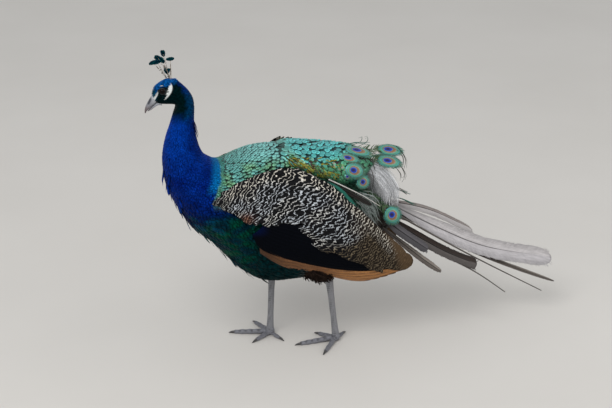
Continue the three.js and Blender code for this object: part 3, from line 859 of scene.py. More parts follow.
def feather_finish(name, rim=0.6, rim_start=0.55, tip_glow=1.0, root_shade=0.5, pitch=0.5, **constants):
    """Plumage: the marking's colour with fine barbs, with painted shade under the next row and at the rim."""
    finish = Finish(name, **constants)
    across, along, _ = finish.split("Vane")
    line = barbs(finish, *finish.split("Measure"), pitch)
    edge = finish.maths("MAXIMUM", abs(across), finish.ranged(along, 0.72, 1.0))
    rim_shade = finish.ranged(edge, rim_start, 1.0, 1.0, rim)
    # Painted shade towards the root, where the next row lies over it, rising to a brighter tip by tip_glow.
    deep = finish.ranged(along, 0.15, 0.75, root_shade, tip_glow)
    finish.bump(line, 0.5, 0.0004)
    return finish.done(finish.bright(
        finish.layer("Marking"), rim_shade * deep * finish.ranged(line, 0.25, 0.75, 0.72, 1.25)
    ))


def scale_finish(name, rim, disc, **constants):
    """Scale-like feathers of the back: each shows a bright round disc on a dark ground of its own
    hue. "rim" is the ground's brightness against the disc's."""
    finish = Finish(name, **constants)
    x, y, from_tip = finish.split("Measure")
    radius = finish.length(x, from_tip - (disc + 0.1))
    line = barbs(finish, x, y, finish.split("Vane")[2], 1 / 9, width=1.0)
    marking = finish.layer("Marking")
    shine = finish.bright(marking, finish.ranged(line, 0.25, 0.75, 0.75, 1.25))
    shine = finish.bright(shine, finish.ranged(radius, 0.2, 0.65, 0.85, 1.3))
    shine = finish.mix(finish.ranged(radius, 0.5, 0.2, 0.0, 0.85), shine, finish.layer("Heart"))
    finish.bump(line, 0.5, 0.0005)
    return finish.done(
        finish.mix(finish.ranged(radius, disc - 0.1, disc + 0.06), shine, finish.bright(marking, rim))
    )


# The wing's bars: their usual pitch and the width of a zigzag's arm, in millimetres, how many bars
# the arm leans for each millimetre, and how many slow and fine noise and a feather's seed move it.
BARS = {"pitch": 7.5, "zigzag": 5.5, "lean": 0.06, "loose": 3.4, "fine": 0.8, "seed": 0.30}


def barred_finish():
    """Wing coverts and scapulars: wavy bars of the marking's colour on the heart's dark colour.
    "Measure" holds millimetres across the wing's middle line, the number of bars along it, and a seed."""
    finish = Finish("barred feathers", roughness=0.7, specular_ior_level=0.08)
    edge = abs(finish.split("Vane")[0])
    across, bars, seed = finish.split("Measure")
    run = bars * BARS["pitch"]
    loose = finish.noise(finish.joined(run, across, 0.0), 0.06, 2.0)
    fine = finish.noise(finish.joined(run, across, 7.0), 0.30, 1.0)
    zigzag = finish.maths("PINGPONG", across + loose * 26.0, BARS["zigzag"])
    phase = bars + zigzag * BARS["lean"] + loose * BARS["loose"] + fine * BARS["fine"] + seed * BARS["seed"]
    bar = finish.ranged(finish.maths("SINE", phase * (2 * math.pi)), 0.54, 0.95)
    ground = finish.layer("Heart")
    pale = finish.bright(finish.layer("Marking"), finish.ranged(fine, 0.3, 0.7, 0.75, 1.2))
    finish.bump(bar, 0.35, 0.0004)
    # Painted shade: each feather's edge darkens towards the dark ground.
    edge_shade = finish.ranged(edge, 0.8, 1.0, 0.0, 0.6)
    return finish.done(finish.mix(edge_shade, finish.mix(bar, ground, pale), ground))


def eye_spot_finish():
    """The eye spot: rings round a point that "Measure" gives in shares of the spot's radius."""
    finish = Finish("eye spot", roughness=0.38, metallic=0.35, specular_ior_level=0.6, sheen_weight=0.15)
    x, y, seed = finish.split("Measure")
    inner, outer = finish.length(x, y + 0.16), finish.length(x, y)
    wobble = finish.noise(finish.joined(x, y, seed * 20.0), 2.2, 2.0)
    middle = finish.node("Mix", finish.ranged(outer, 0.35, 0.8), None, inner, outer)
    radius = middle + (wobble - 0.5) * 0.12
    tip_side = finish.ranged(y, -0.95, -0.2)
    colour = (0.003, 0.002, 0.040)
    for start, ring in (
        (0.22, (0.005, 0.008, 0.30)),
        (0.44, (0.010, 0.17, 0.50)),
        (0.53, finish.mix(tip_side, (0.12, 0.20, 0.15), (0.24, 0.12, 0.05))),
        (0.70, finish.mix(tip_side, (0.03, 0.25, 0.20), (0.28, 0.18, 0.11))),
        (0.83, (0.05, 0.35, 0.32)),
        (0.94, (0.11, 0.25, 0.05)),
    ):
        colour = finish.mix(finish.ranged(radius, start - 0.03, start + 0.03), colour, ring)
    colour = finish.mix(finish.ranged(radius, 0.98, 1.06), colour, finish.layer("Marking"))
    spokes = finish.joined(finish.maths("ARCTAN2", x, y) * 18.0, radius, 0.0)
    line = finish.noise(spokes, 1.0, 1.0)
    finish.bump(line, 0.5, 0.0005)
    return finish.done(finish.bright(colour, finish.ranged(line, 0.25, 0.75, 0.7, 1.25)))


def tail_finish():
    """Stiff tail feathers: the marking's colour with a mottled, frayed look along slanting barbs."""
    finish = Finish("tail feathers", roughness=0.6, specular_ior_level=0.2, sheen_weight=0.05)
    across = finish.split("Vane")[0]
    x, y, seed = finish.split("Measure")
    line = barbs(finish, x, y, seed, 0.9, 1.1)
    cloud = finish.noise(finish.joined(x * 0.6, y * 0.12, finish.split("Vane")[2] * 50.0), 0.35, 3.0)
    edge = finish.ranged(abs(across), 0.2, 1.0, 1.08, 0.8)
    mottling = edge * finish.ranged(cloud, 0.3, 0.7, 0.88, 1.08)
    finish.bump(line, 0.6, 0.0006)
    return finish.done(
        finish.bright(finish.layer("Marking"), mottling * finish.ranged(line, 0.25, 0.75, 0.86, 1.1))
    )


def plain_feather_finish(name, contrast, **constants):
    """Down, barbs and shafts: the marking's colour with a little variation along each."""
    finish = Finish(name, **constants)
    x, y, seed = finish.split("Measure")
    spots = finish.noise(finish.joined(x, y, seed * 30.0), 0.4, 2.0)
    finish.bump(spots, 0.3, 0.0004)
    shade = finish.ranged(spots, 0.3, 0.7, 1 - contrast, 1 + contrast)
    return finish.done(finish.bright(finish.layer("Marking"), shade))


def skin_finish():
    """Bare skin: the marking's colour, with fine wrinkles on the face and scales down the legs.
    "Measure" holds how deep a point is in a groove, and whether it is on a leg."""
    finish = Finish("skin", roughness=0.5, specular_ior_level=0.45)
    groove, _, leg = finish.split("Measure")
    spot = finish.node("TexCoord", output="Object")
    pores = finish.noise(spot, 900.0, 3.0)
    cells = finish.node("TexVoronoi", spot, None, 420.0, feature="DISTANCE_TO_EDGE", output="Distance")
    seam = finish.ranged(cells, 0.0, 0.12)
    scaly = finish.mix(leg, (1.0, 1.0, 1.0), finish.node("CombineColor", seam, seam, seam))
    shade = finish.bright(finish.layer("Marking"), finish.ranged(pores, 0.3, 0.7, 0.85, 1.12))
    colour = finish.mix(0.35, shade, finish.mix(1.0, shade, scaly, "MULTIPLY"))
    finish.bump(pores * 0.4 + seam * leg, 0.5, 0.0004)
    # Painted shade in the grooves between the scutes, darkest at their deepest.
    return finish.done(finish.bright(colour, finish.ranged(groove, 0.0, 1.0, 1.0, 0.45)))


def horn_finish(name, base, tip_colour, start, end):
    """Bill and claws: streaked along their length, from the base's colour to the tip's."""
    finish = Finish(name, roughness=0.36, coat_weight=0.15, coat_roughness=0.25)
    across, along, seed = finish.split("Vane")
    streak = finish.noise(finish.joined(across * 6.0, along * 1.5, seed), 2.2, 3.0)
    colour = finish.mix(finish.ranged(along, start, end), base, tip_colour)
    colour = finish.bright(colour, finish.ranged(streak, 0.3, 0.7, 0.7, 1.2))
    finish.bump(streak, 0.25, 0.0003)
    return finish.done(finish.mix(1.0, colour, finish.layer("Marking"), "MULTIPLY"))


def eye_finish():
    """A dark brown iris round a black pupil, under a clear wet surface."""
    finish = Finish("eye", roughness=0.12, coat_weight=0.04, coat_roughness=0.05, specular_ior_level=0.06)
    radius, angle, _ = finish.split("Vane")
    fibres = finish.noise(finish.joined(angle * 30.0, radius, 0.0), 1.0, 2.0)
    iris = finish.bright(finish.layer("Marking"), finish.ranged(fibres, 0.3, 0.7, 0.6, 1.4))
    colour = finish.mix(finish.ranged(radius, 0.52, 0.58), (0.002, 0.002, 0.002), iris)
    return finish.done(finish.mix(finish.ranged(radius, 0.72, 0.84), colour, (0.006, 0.005, 0.005)))


FINISHES = {
    "blue": feather_finish("blue feathers", rim=0.75, root_shade=0.4, tip_glow=1.2, roughness=0.58,
                           metallic=0.55, specular_ior_level=0.0),
    "green": feather_finish("dark green feathers", rim=0.45, root_shade=0.4, tip_glow=1.5, roughness=0.62,
                            metallic=0.35, specular_ior_level=0.0),
    "rump": feather_finish("rump feathers", rim=0.6, root_shade=0.5, tip_glow=1.2, roughness=0.6,
                           metallic=0.3, specular_ior_level=0.2),
    "mantle": scale_finish("mantle scales", 0.14, 0.68, roughness=0.45, metallic=0.45),
    "train": scale_finish("train scales", 0.20, 0.77, roughness=0.42, metallic=0.45),
    "barred": barred_finish(),
    "black": feather_finish("blue-black feathers", rim=0.6, rim_start=0.8, root_shade=0.9, pitch=0.7,
                            roughness=0.7, specular_ior_level=0.02),
    "rufous": feather_finish("rufous feathers", rim=0.25, rim_start=0.78, root_shade=0.95, pitch=0.7,
                             roughness=0.6, specular_ior_level=0.25),
    "eye spot": eye_spot_finish(),
    "tail": tail_finish(),
    "down": plain_feather_finish("down", 0.25, roughness=0.8, sheen_weight=0.2, specular_ior_level=0.2),
    "fluff": plain_feather_finish("thigh fluff", 0.4, roughness=0.9, specular_ior_level=0.05),
    "barbs": plain_feather_finish("loose barbs", 0.3, roughness=0.5, metallic=0.3),
    "skin": skin_finish(),
    "bill": horn_finish("bill", (0.30, 0.31, 0.34), (0.17, 0.15, 0.16), 0.3, 0.9),
    "claw": horn_finish("claws", (0.06, 0.055, 0.055), (0.02, 0.018, 0.018), 0.2, 1.0),
    "eye": eye_finish(),
}


# ---------------------------------------------------------------- skin and legs


def loft(rings):
    """Points and faces of a closed surface through rings (rings, sides, 3)."""
    count, sides = rings.shape[:2]
    points = np.vstack([rings.reshape(-1, 3), rings[0].mean(0), rings[-1].mean(0)])
    near = np.arange(sides)
    far = np.roll(near, -1)
    row = sides * np.arange(count - 1)[:, None]
    quads = np.stack([row + near, row + far, row + sides + far, row + sides + near], -1).reshape(-1, 4)
    last = sides * (count - 1)
    first_cap = np.stack([np.full(sides, last + sides), far, near], 1)
    last_cap = np.stack([np.full(sides, last + sides + 1), last + near, last + far], 1)
    return points, quads, np.vstack([first_cap, last_cap])


def gathered(parts):
    """Several (points, quads, tris) as one."""
    points, quads, tris = zip(*parts)
    shifts = np.cumsum([0] + [len(p) for p in points[:-1]])
    quads, tris = ([f + shift for f, shift in zip(faces, shifts)] for faces in (quads, tris))
    return np.vstack(points), np.vstack(quads), np.vstack(tris)


def tube_rings(line, deep, wide, side):
    """Rings round a line. "deep" and "wide" are half sizes at each point, "wide" near "side"."""
    tangent = unit(np.gradient(line, axis=0))
    top = unit(np.cross(tangent, side))
    across = np.cross(top, tangent)
    angle = circle(20)[None, :, None]
    deep, wide = deep[:, None, None], wide[:, None, None]
    return line[:, None] + top[:, None] * deep * np.cos(angle) + across[:, None] * wide * np.sin(angle)


def heading(side, degrees):
    angle = math.radians(degrees)
    return np.array((-math.cos(angle), side * math.sin(angle), 0))


def toe_line(leg, toe):
    """A toe's middle line from inside the ankle to the floor, and its direction."""
    ahead = heading(leg["side"], leg["heading"] + toe["turn"])
    start = np.array((*leg["ankle"][:2], 0.0))
    radius = toe["radius"]
    reach = np.array([0, 0.4, 0.72, 1]) * toe["length"]
    rise = np.array([ANKLE_BALL["height"], radius * 1.25, radius, radius * 0.8]) - TOE_SINK
    corners = start + reach[:, None] * ahead + rise[:, None] * (0, 0, 1)
    return curve(corners, 30), ahead


def leg_lines(leg):
    """The leg's middle lines: shank first, then the toes."""
    top, bottom = np.array(leg["hock"], float), np.array(leg["ankle"], float)
    shares = np.linspace(0, 1, 60)[:, None]
    return [top + (bottom - top) * shares] + [toe_line(leg, toe)[0] for toe in TOES.values()]


def leg_parts(leg):
    lines = leg_lines(leg)
    shares, deep, wide = np.array(SHANK_RINGS, float).T
    along = np.linspace(0, 1, len(lines[0]))
    shank_deep = np.interp(along, shares, deep) - 0.3
    shank_wide = np.interp(along, shares, wide) - 0.3
    parts = [loft(tube_rings(lines[0], shank_deep, shank_wide, (0, 1, 0)))]
    centre = np.array((*leg["ankle"][:2], ANKLE_BALL["height"]))
    rise = np.linspace(-1, 1, 14)
    ball_line = centre + rise[:, None] * (0, 0, ANKLE_BALL["radius"] - 0.4)
    girth = (ANKLE_BALL["radius"] - 0.4) * np.sqrt(np.maximum(1 - rise**2, 0.01))
    parts.append(loft(tube_rings(ball_line, girth, girth, (0, 1, 0))))
    for line, toe in zip(lines[1:], TOES.values()):
        share = np.linspace(0, 1, len(line))
        pads = 1 + 0.07 * np.cos(share * 2 * np.pi * toe["length"] / 19)
        radius = toe["radius"] * np.interp(share, [0, 0.4, 0.72, 1], [1, 1, 0.95, 0.8]) * pads - 0.2
        ahead = unit(line[-1] - line[0])
        parts.append(loft(tube_rings(line, radius, radius, np.cross((0, 0, 1), ahead))))
    return parts


def remeshed(parts, voxel):
    """Overlapping closed parts as one even surface. "voxel" is its grain."""
    points, quads, tris = gathered(parts)
    mesh = bpy.data.meshes.new("raw")
    mesh.from_pydata(points * 0.001, [], quads.tolist() + tris.tolist())
    raw = linked("raw", mesh)
    grain = raw.modifiers.new("grain", "REMESH")
    grain.mode = "VOXEL"
    grain.voxel_size = voxel * 0.001
    even = raw.evaluated_get(bpy.context.evaluated_depsgraph_get()).to_mesh()
    found = np.zeros(len(even.vertices) * 3)
    even.vertices.foreach_get("co", found)
    corners = np.zeros(len(even.loops), int)
    even.loops.foreach_get("vertex_index", corners)
    bpy.data.objects.remove(raw)
    return found.reshape(-1, 3) * 1000, corners.reshape(-1, 4)


SCUTE = {"shank": 5.0, "toe": 3.3, "depth": 0.45}  # the pitch of the scutes, and the grooves between
LEG_GRAIN = 0.95


def scuted(points, leg):
    """The leg's surface with the grooves between its scutes, and how deep each point is in one."""
    lines = leg_lines(leg)
    spots = np.vstack(lines)
    owner = np.concatenate([np.full(len(line), i) for i, line in enumerate(lines)])
    reach = np.concatenate([np.linspace(0, np.linalg.norm(line[-1] - line[0]), len(line)) for line in lines])
    nearest = nearest_of(points, spots)
    out = unit(points - spots[nearest])
    on_shank = owner[nearest] == 0
    pitch = np.where(on_shank, SCUTE["shank"], SCUTE["toe"])
    front = np.where(on_shank, smooth(-out[:, 0], -0.1, 0.35), smooth(out[:, 2], 0.1, 0.5))
    lean = np.where(on_shank, 1.6 * out[:, 1], 0)
    phase = (reach[nearest] + lean) / pitch % 1
    groove = np.exp(-(((phase - 0.5) * pitch / 0.75) ** 2)) * front
    moved = points - out * (SCUTE["depth"] * groove)[:, None]
    moved[:, 2] = np.maximum(moved[:, 2], 0)
    return moved, groove


def coat_depth(s):
    """How deep the feathers lie at a ring of the body."""
    stops = [0, RING_NUMBER["throat"], RING_NUMBER["neck_foot"], RING_NUMBER["breast_top"]]
    deep = COAT_DEPTH
    return np.interp(s, stops, [deep["head"], deep["head"] + 0.4, deep["neck"], deep["body"]])


def body_skin():
    """The body's surface, inside its solids by the coat's depth, with hollows for the eyes."""
    throat, collar = RING_NUMBER["throat"], RING_NUMBER["collar"]
    s = np.concatenate([
        np.linspace(0, throat, 90, endpoint=False),
        np.linspace(throat, collar, 50, endpoint=False),
        np.linspace(collar, BODY.last, 60),
    ])[:, None]
    turn = circle(96)[None]
    rings = BODY.at(s, turn, -coat_depth(s))
    rings[..., 1] *= 1 - 0.25 * (1 - smooth(from_eye(rings), 3, 10))
    return loft(rings)


def eye_frame(side):
    """The eye's middle and its outward, forward and upward directions."""
    middle = np.array((EYE["x"], side * EYE["y"], EYE["z"]))
    outward = unit(np.array((-0.22, side, 0.04)))
    upward = unit(np.cross(np.cross(outward, (0, 0, 1)), outward))
    forward = np.cross(outward, upward) * side
    return middle, outward, forward, upward


# The lids: their half opening in degrees, and the share of the way out from it and the
# millimetres off the eyeball of each line round them.
LID = {
    "wide": 64,
    "high": 56,
    "lines": ((0, -0.8), (0, 0.25), (0.08, 0.7), (0.3, 0.95), (0.6, 0.5), (1, -1.2), (1, -3)),
}


def lid(side):
    """The skin round the eye: a thick rim that opens on the eyeball."""
    middle, outward, forward, upward = eye_frame(side)
    c, s = np.cos(circle(48)), np.sin(circle(48))
    opening = 1 / np.sqrt((c / LID["wide"]) ** 2 + (s / LID["high"]) ** 2)
    rings = []
    for share, out in LID["lines"]:
        polar = np.radians(opening + (88 - opening) * share)
        radius = EYE["radius"] + out
        across = c[:, None] * forward + s[:, None] * upward
        rings.append(middle + radius * (np.cos(polar)[:, None] * outward + np.sin(polar)[:, None] * across))
    return loft(np.array(rings[::-side]))


def leg_skin(leg):
    """A leg's points and faces, its colours and its measures."""
    points, quads = remeshed(leg_parts(leg), LEG_GRAIN)
    points, groove = scuted(points, leg)
    colour = mixed((0.235, 0.235, 0.25), (0.20, 0.20, 0.225), smooth(-points[:, 2], -30, -8))
    return (points, quads, np.zeros((0, 3), int)), colour, together(groove, groove, 1.0)


def dress_skin():
    """One skin over head, neck, body and legs."""
    thigh_s, thigh_turn = np.linspace(0, 3, 20)[:, None], circle(28)
    thighs = [loft(thigh_form(leg).at(thigh_s, thigh_turn, -THIGH_FLUFF)) for leg in LEGS.values()]
    body = gathered([body_skin()] + [lid(side) for side in (-1, 1)] + thighs)
    legs = [leg_skin(leg) for leg in LEGS.values()]
    pieces, colours, measures = zip((body, skin_colour(body[0]), np.zeros((len(body[0]), 3))), *legs)
    points, quads, tris = gathered(pieces)
    nodes = ["head", "neck_upper", "neck_lower", "breast", "trunk", "rump"]
    nodes += [f"{part}_{side}" for part in ("thigh", "shank", "foot") for side in LEGS]
    mesh_piece("skin", points, [quads, tris], "skin", nodes,
               {"Marking": np.vstack(colours), "Measure": np.vstack(measures)})


# ---------------------------------------------------------------- eyes, bill, claws and crest


def dress_eyes():
    for name, side in (("left", -1), ("right", 1)):
        middle, outward, forward, upward = eye_frame(side)
        polar = np.radians(np.linspace(0.5, 179.5, 48))[:, None, None]
        angle = circle(48)[None, :, None]
        across = forward * np.cos(angle) + upward * np.sin(angle)
        radius = EYE["radius"] - 0.15
        rings = middle + radius * (np.cos(polar) * outward + np.sin(polar) * across)
        points, quads, tris = loft(rings)
        share = np.where(polar < np.pi / 2, np.sin(polar) / math.sin(math.radians(LID["wide"])), 1.5)
        vane = together(share[..., 0], angle[..., 0] / (2 * np.pi), 0.0).reshape(-1, 3)
        vane = np.vstack([vane, (0, 0, 0), (1.5, 0, 0)])
        marking = np.tile((0.008, 0.0025, 0.002), (len(points), 1))
        mesh_piece(f"eyeball_{name}", points, [quads, tris], "eye", [f"eye_{name}"],
                   {"Vane": vane, "Marking": marking})


NOSTRIL = {"x": -304.0, "z": 561.4, "long": 7.0, "high": 2.0}


def horn_piece(name, form, node, shape=None, tint=None):
    """A smooth closed piece of horn over a form, with its shape and tint changed by functions."""
    s = np.linspace(0, form.last, 60)[:, None]
    turn = circle(56)[None]
    rings = form.at(s, turn)
    if shape:
        rings = shape(rings, turn)
    points, quads, tris = loft(rings)
    vane = together(np.sin(turn), s / form.last, 0.3).reshape(-1, 3)
    vane = np.vstack([vane, (0, 0, 0.3), (0, 1, 0.3)])
    marking = tint(points) if tint else np.ones((len(points), 3))
    finish = "claw" if name.startswith("claw") else "bill"
    mesh_piece(name, points, [quads, tris], finish, [node], {"Vane": vane, "Marking": marking})


def nostril_depth(points):
    """How far into a nostril's slit a point of the bill lies. It runs along the bill's ridge."""
    x, z = side_view(points)
    x, z = x - NOSTRIL["x"], z - NOSTRIL["z"]
    along, across = 0.43 * x + 0.9 * z, 0.9 * x - 0.43 * z
    return np.exp(-((across / NOSTRIL["high"]) ** 2) - (along / NOSTRIL["long"]) ** 4)


def bill_shape(rings, turn):
    """A culmen that comes to a soft ridge, and a sunken nostril on each side."""
    ridge = np.abs(np.cos(turn)) ** 3 * (np.cos(turn) > 0)
    rings[..., 1] *= 1 - 0.22 * ridge
    rings[..., 1] *= 1 - 0.3 * nostril_depth(rings)
    return rings


def bill_tint(points):
    """Pale at the gape, with painted shade along the nostril's slit, and brownish at the tip."""
    colour = mixed((0.85, 0.85, 0.85), (1.35, 1.35, 1.3), smooth(points[:, 0], -302, -294))
    colour = mixed(colour, (0.62, 0.52, 0.50), smooth(-points[:, 2], -556, -544))
    # Painted shade in the nostril's slit.
    return mixed(colour, (0.10, 0.10, 0.12), np.clip(1.3 * nostril_depth(points), 0, 0.95))


def dress_bill():
    horn_piece("beak_upper", oval_form(BILL_UPPER), "bill_upper", bill_shape, bill_tint)
    horn_piece("beak_lower", oval_form(BILL_LOWER), "bill_lower")


def dress_claws():
    for side, leg in LEGS.items():
        for name, toe in TOES.items():
            line, ahead = toe_line(leg, toe)
            shares = np.array([-0.12, 0, 0.25, 0.5, 0.75, 1.0])
            line = line[-1] + shares[:, None] * CLAW["length"] * ahead - (0, 0, 2.2) * (shares**2)[:, None]
            radius = CLAW["radius"] * np.array([0.7, 0.98, 0.92, 0.75, 0.5, 0.16])
            upright_axis = np.tile((0.0, 0, 1), (6, 1)) * radius[:, None]
            sideways = np.cross((0, 0, 1), ahead) * radius[:, None] * 0.85
            line[:, 2] = np.maximum(line[:, 2], radius + 0.05)
            horn_piece(f"claw_horn_{side}_{name}", Form(line, upright_axis, sideways), f"claw_{side}_{name}")


FAN_BARBS = 56  # on each side of a crest feather's end
LOW_BARBS = 12  # along its shaft


def crest_fan(tip, axis, out, face, long, wide, random):
    """The barbs on both sides of one crest feather's end, which make a leaf round its tip."""
    paths = []
    for k in range(2 * FAN_BARBS):
        share = (k // 2) / (FAN_BARBS - 1)
        way = 1 - 2 * (k % 2)
        start = tip + axis * long * (1.7 * share - 1.0)
        spread = math.radians(58 - 34 * share + random.uniform(-6, 6))
        lean = axis * math.cos(spread) + way * out * math.sin(spread)
        reach = wide * (0.3 + 0.8 * math.sin(math.pi * (0.12 + 0.8 * share)))
        stop = start + lean * reach * random.uniform(0.85, 1.1) + face * random.uniform(-0.8, 0.8)
        paths.append(curve([start, (start + stop) / 2 + axis * reach * 0.1, stop], 4))
    return paths


def side_barbs(root, tip, along, out, random):
    """The few short barbs low on a crest shaft."""
    paths = []
    for _ in range(LOW_BARBS):
        start = root + (tip - root) * random.uniform(0.12, 0.75)
        stop = start + unit(along + out * random.choice([-1, 1]) * 0.7) * random.uniform(2.0, 3.6)
        paths.append(curve([start, (start + stop) / 2, stop], 4))
    return paths


def dress_crest():
    """Bare shafts with thin side barbs low down and a fan of barbs at each end."""
    random = np.random.default_rng(11)
    face = unit(np.array((-0.35, -1.0, 0.25)))
    shafts, fans, barbs_low = [], [], []
    for x, y, z, long, wide, lean in CREST_TIPS:
        tip = np.array((x, y, z), float)
        root = np.array((CREST_ROOT[0] + random.uniform(-3, 3), y * 0.22, CREST_ROOT[2] - 3))
        axis = np.array((-math.sin(math.radians(lean)), 0, math.cos(math.radians(lean))))
        out = unit(np.cross(axis, face))
        shafts.append(curve([root, root + (tip - root) * 0.5 + (0.8, 0, 1.2), tip], 10))
        fans += crest_fan(tip, axis, out, face, long, wide, random)
        barbs_low += side_barbs(root, tip, unit(tip - root), out, random)
    bake = BODY.unwrapped(np.full(len(shafts), 3.0), np.linspace(-0.2, 0.2, len(shafts)))
    width = np.linspace(0.55, 0.22, 10)
    stalks = ribbons(np.array(shafts), (0, -1, 0.3), width, width * 0.8, (0.42, 0.36, 0.29), bake, random)
    thin = np.array([0.5, 0.55, 0.45, 0.2])
    low = ribbons(np.array(barbs_low), (-0.35, -1, 0.25), thin, 0.14, (0.16, 0.14, 0.12),
                  np.repeat(bake, LOW_BARBS, 0), random)
    coat_piece("crest_shafts", [stalks, low], "barbs")
    tint = mixed((0.001, 0.014, 0.045), (0.004, 0.085, 0.080), random.random(len(fans)) ** 1.5)
    blades = ribbons(np.array(fans), (-0.35, -1, 0.25), thin * 1.3, 0.14, tint[:, None],
                     np.repeat(bake, 2 * FAN_BARBS, 0), random)
    coat_piece("crest_feathers", [blades], "blue", ["crest"])


# ---------------------------------------------------------------- coats of the body


def ratio_along(form, s, turn):
    """How long one ring's step is at a place, against the mean round the form."""
    here = np.linalg.norm(form.steps(s, turn)[0], axis=1)
    mean = np.mean([np.linalg.norm(form.steps(s, turn * 0 + a)[0], axis=1) for a in circle(12)], axis=0)
    return here / mean


def under_wing(points, margin):
    """Which points the folded wings cover, apart from a margin along their edge."""
    middle = np.array((-20, 310))
    outline = np.array(COVERT_OUTLINE) * (1 - margin) + middle * margin
    return inside_outline(points, outline) & (np.abs(points[:, 1]) > 40)


def dress_head():
    random = np.random.default_rng(21)
    s, turn = rows_on(BODY, 0.15, RING_NUMBER["throat"] + 0.3, 1.55, random)
    points = BODY.at(s, turn)
    keep = (bare_skin(points) < 0.35) & (from_eye(points) >= 7.6)
    s, turn, points = s[keep], turn[keep], points[keep]
    size = np.interp(s, [0, 1.5, 4, 6.3], [2.6, 3.6, 4.8, 7.0]) * random.uniform(0.85, 1.15, len(s))
    x, z = points[:, 0], points[:, 2]
    crown = smooth(z, 590, 600) * smooth(x, -282, -262)
    forehead = smooth(-x, 283, 289) * smooth(z, 562, 570) * (1 - smooth(z, 584, 594))
    tuft = np.exp(-(((x + 254) / 4) ** 2) - (points[:, 1] / 8) ** 2) * (z > 590)
    height = (-0.7 + 1.8 * forehead + 1.5 * tuft, 0.25 + 1.6 * crown + 2.6 * forehead + 3.5 * tuft)
    feathers = lay(BODY, s, turn, size, size * 0.26, TINY, random, height=height,
                   colour=body_colour, swing=jitter(random, 0.15, len(s)), thick=0.14, shade=0.25)
    coat_piece("coat_head", [feathers], "blue")


def body_feathers(random, rings, gap, sizes, *, vary, width, swing, keep=None, shape=SLIM, wider=0.0,
                  follow=False, stretch=1.0, **look):
    """Staggered rows of feathers between two rings of the body. "sizes" are rings and the length at
    each, give or take a share "vary"; if they "follow" the rings, feathers are longer where these lie
    farther apart. "keep" says which places get one, "width" is half widths against lengths."""
    s, turn = rows_on(BODY, *rings, gap, random, stretch)
    if keep:
        kept = keep(BODY.at(s, turn), turn)
        s, turn = s[kept], turn[kept]
    size = np.interp(s, *sizes)
    if follow:
        size = size * ratio_along(BODY, s, turn) ** 0.5
    size = size * random.uniform(1 - vary, 1 + vary, len(s))
    return lay(BODY, s, turn, size, size * width + wider, shape, random, colour=body_colour,
               swing=random.uniform(-swing, swing, len(s)), **look)


def dress_neck():
    random = np.random.default_rng(22)
    first, last = RING_NUMBER["throat"] - 0.1, RING_NUMBER["withers"] + 0.2
    feathers = body_feathers(
        random, (first, last), lambda s: 2.0 + 0.24 * (s - first), ((first, 10, last), (7.5, 12, 17)),
        vary=0.15, width=0.17, swing=0.12, keep=lambda points, turn: back_border(points) < 1.5,
        wider=0.2, follow=True, stretch=1.15, height=(-1.6, 0.5), thick=0.2, shade=0.22,
    )
    s, turn = np.full(9, RING_NUMBER["neck_high"] + 0.3), np.linspace(-0.45, 0.3, 9)
    tuft = lay(BODY, s, turn, random.uniform(16, 30, 9), 2.6, SLIM, random,
               height=(-1.0, random.uniform(2, 6, 9)),
               colour=lambda p: mixed(body_colour(p), (0.012, 0.004, 0.03), np.full(p.shape[:2], 0.6)))
    coat_piece("coat_neck", [feathers, tuft], "blue")


def on_breast(points, turn):
    """Which places of the body are below the scaly back and in front of the wings."""
    return ((back_border(points) < 1) | (points[:, 2] < 372)) & ~under_wing(points, 0.2)


def dress_breast():
    random = np.random.default_rng(23)
    rings = RING_NUMBER["collar"] + 0.5, RING_NUMBER["belly_front"] + 0.2
    feathers = body_feathers(
        random, rings, lambda s: 3.6 + 0.45 * (s - rings[0]), (rings, (13, 22)), vary=0.15, width=0.24,
        swing=0.14, keep=on_breast, follow=True, height=(-2.6, 1.0), thick=0.25, shade=0.3,
    )
    coat_piece("coat_breast", [feathers], "blue")


def dress_belly():
    random = np.random.default_rng(24)
    rings = RING_NUMBER["keel"] + 0.6, RING_NUMBER["belly_rear"] + 0.4
    feathers = body_feathers(
        random, rings, 6.0, (rings, (22, 30)), vary=0.2, width=0.25, swing=0.25,
        keep=lambda points, turn: np.abs(turn) > 1.5, height=(-2.8, 1.5), thick=0.3, shade=0.35,
    )
    count = 90
    s, turn = random.uniform(12.5, rings[1], count), np.pi + jitter(random, 0.7, count)
    ragged = lay(BODY, s, turn, random.uniform(24, 36, count), 4.5, SLIM, random, colour=body_colour,
                 height=(-2.0, random.uniform(3, 9, count)), swing=jitter(random, 0.5, count), shade=0.35)
    coat_piece("coat_belly", [feathers, ragged], "green")


def dress_rump():
    """The brown and dark green feathers behind the wings and under the train."""
    rings = RING_NUMBER["belly_rear"] - 0.4, RING_NUMBER["rump"] + 0.7
    feathers = body_feathers(
        np.random.default_rng(27), rings, 6.2, (rings, (26, 26)), vary=6 / 26, width=0.2, swing=0.25,
        height=(-2.0, 2.0), thick=0.3, shade=0.4,
    )
    coat_piece("coat_rump", [feathers], "rump")


def on_mantle(points, turn):
    """Which places of the body are on the scaly back, clear of the wings."""
    on_back = (back_border(points) > -1) & (np.abs(turn) < 1.6) & (points[:, 2] > 366)
    return on_back & ~under_wing(points, 0.08)


def dress_mantle():
    random = np.random.default_rng(25)
    rings = RING_NUMBER["neck_foot"] + 0.6, RING_NUMBER["belly"] + 0.1
    feathers = body_feathers(
        random, rings, lambda s: 5.2 + 0.45 * (s - rings[0]), (rings, (13, 21)), vary=0.08, width=0.27,
        swing=0.12, keep=on_mantle, shape=ROUND, stretch=1.25, height=(-1.5, 2.0), thick=0.25, crown=0.5,
        shade=0.35,
        heart=lambda points: body_colour(points) * 1.25, by_width=True,
    )
    coat_piece("coat_mantle", [feathers], "mantle")


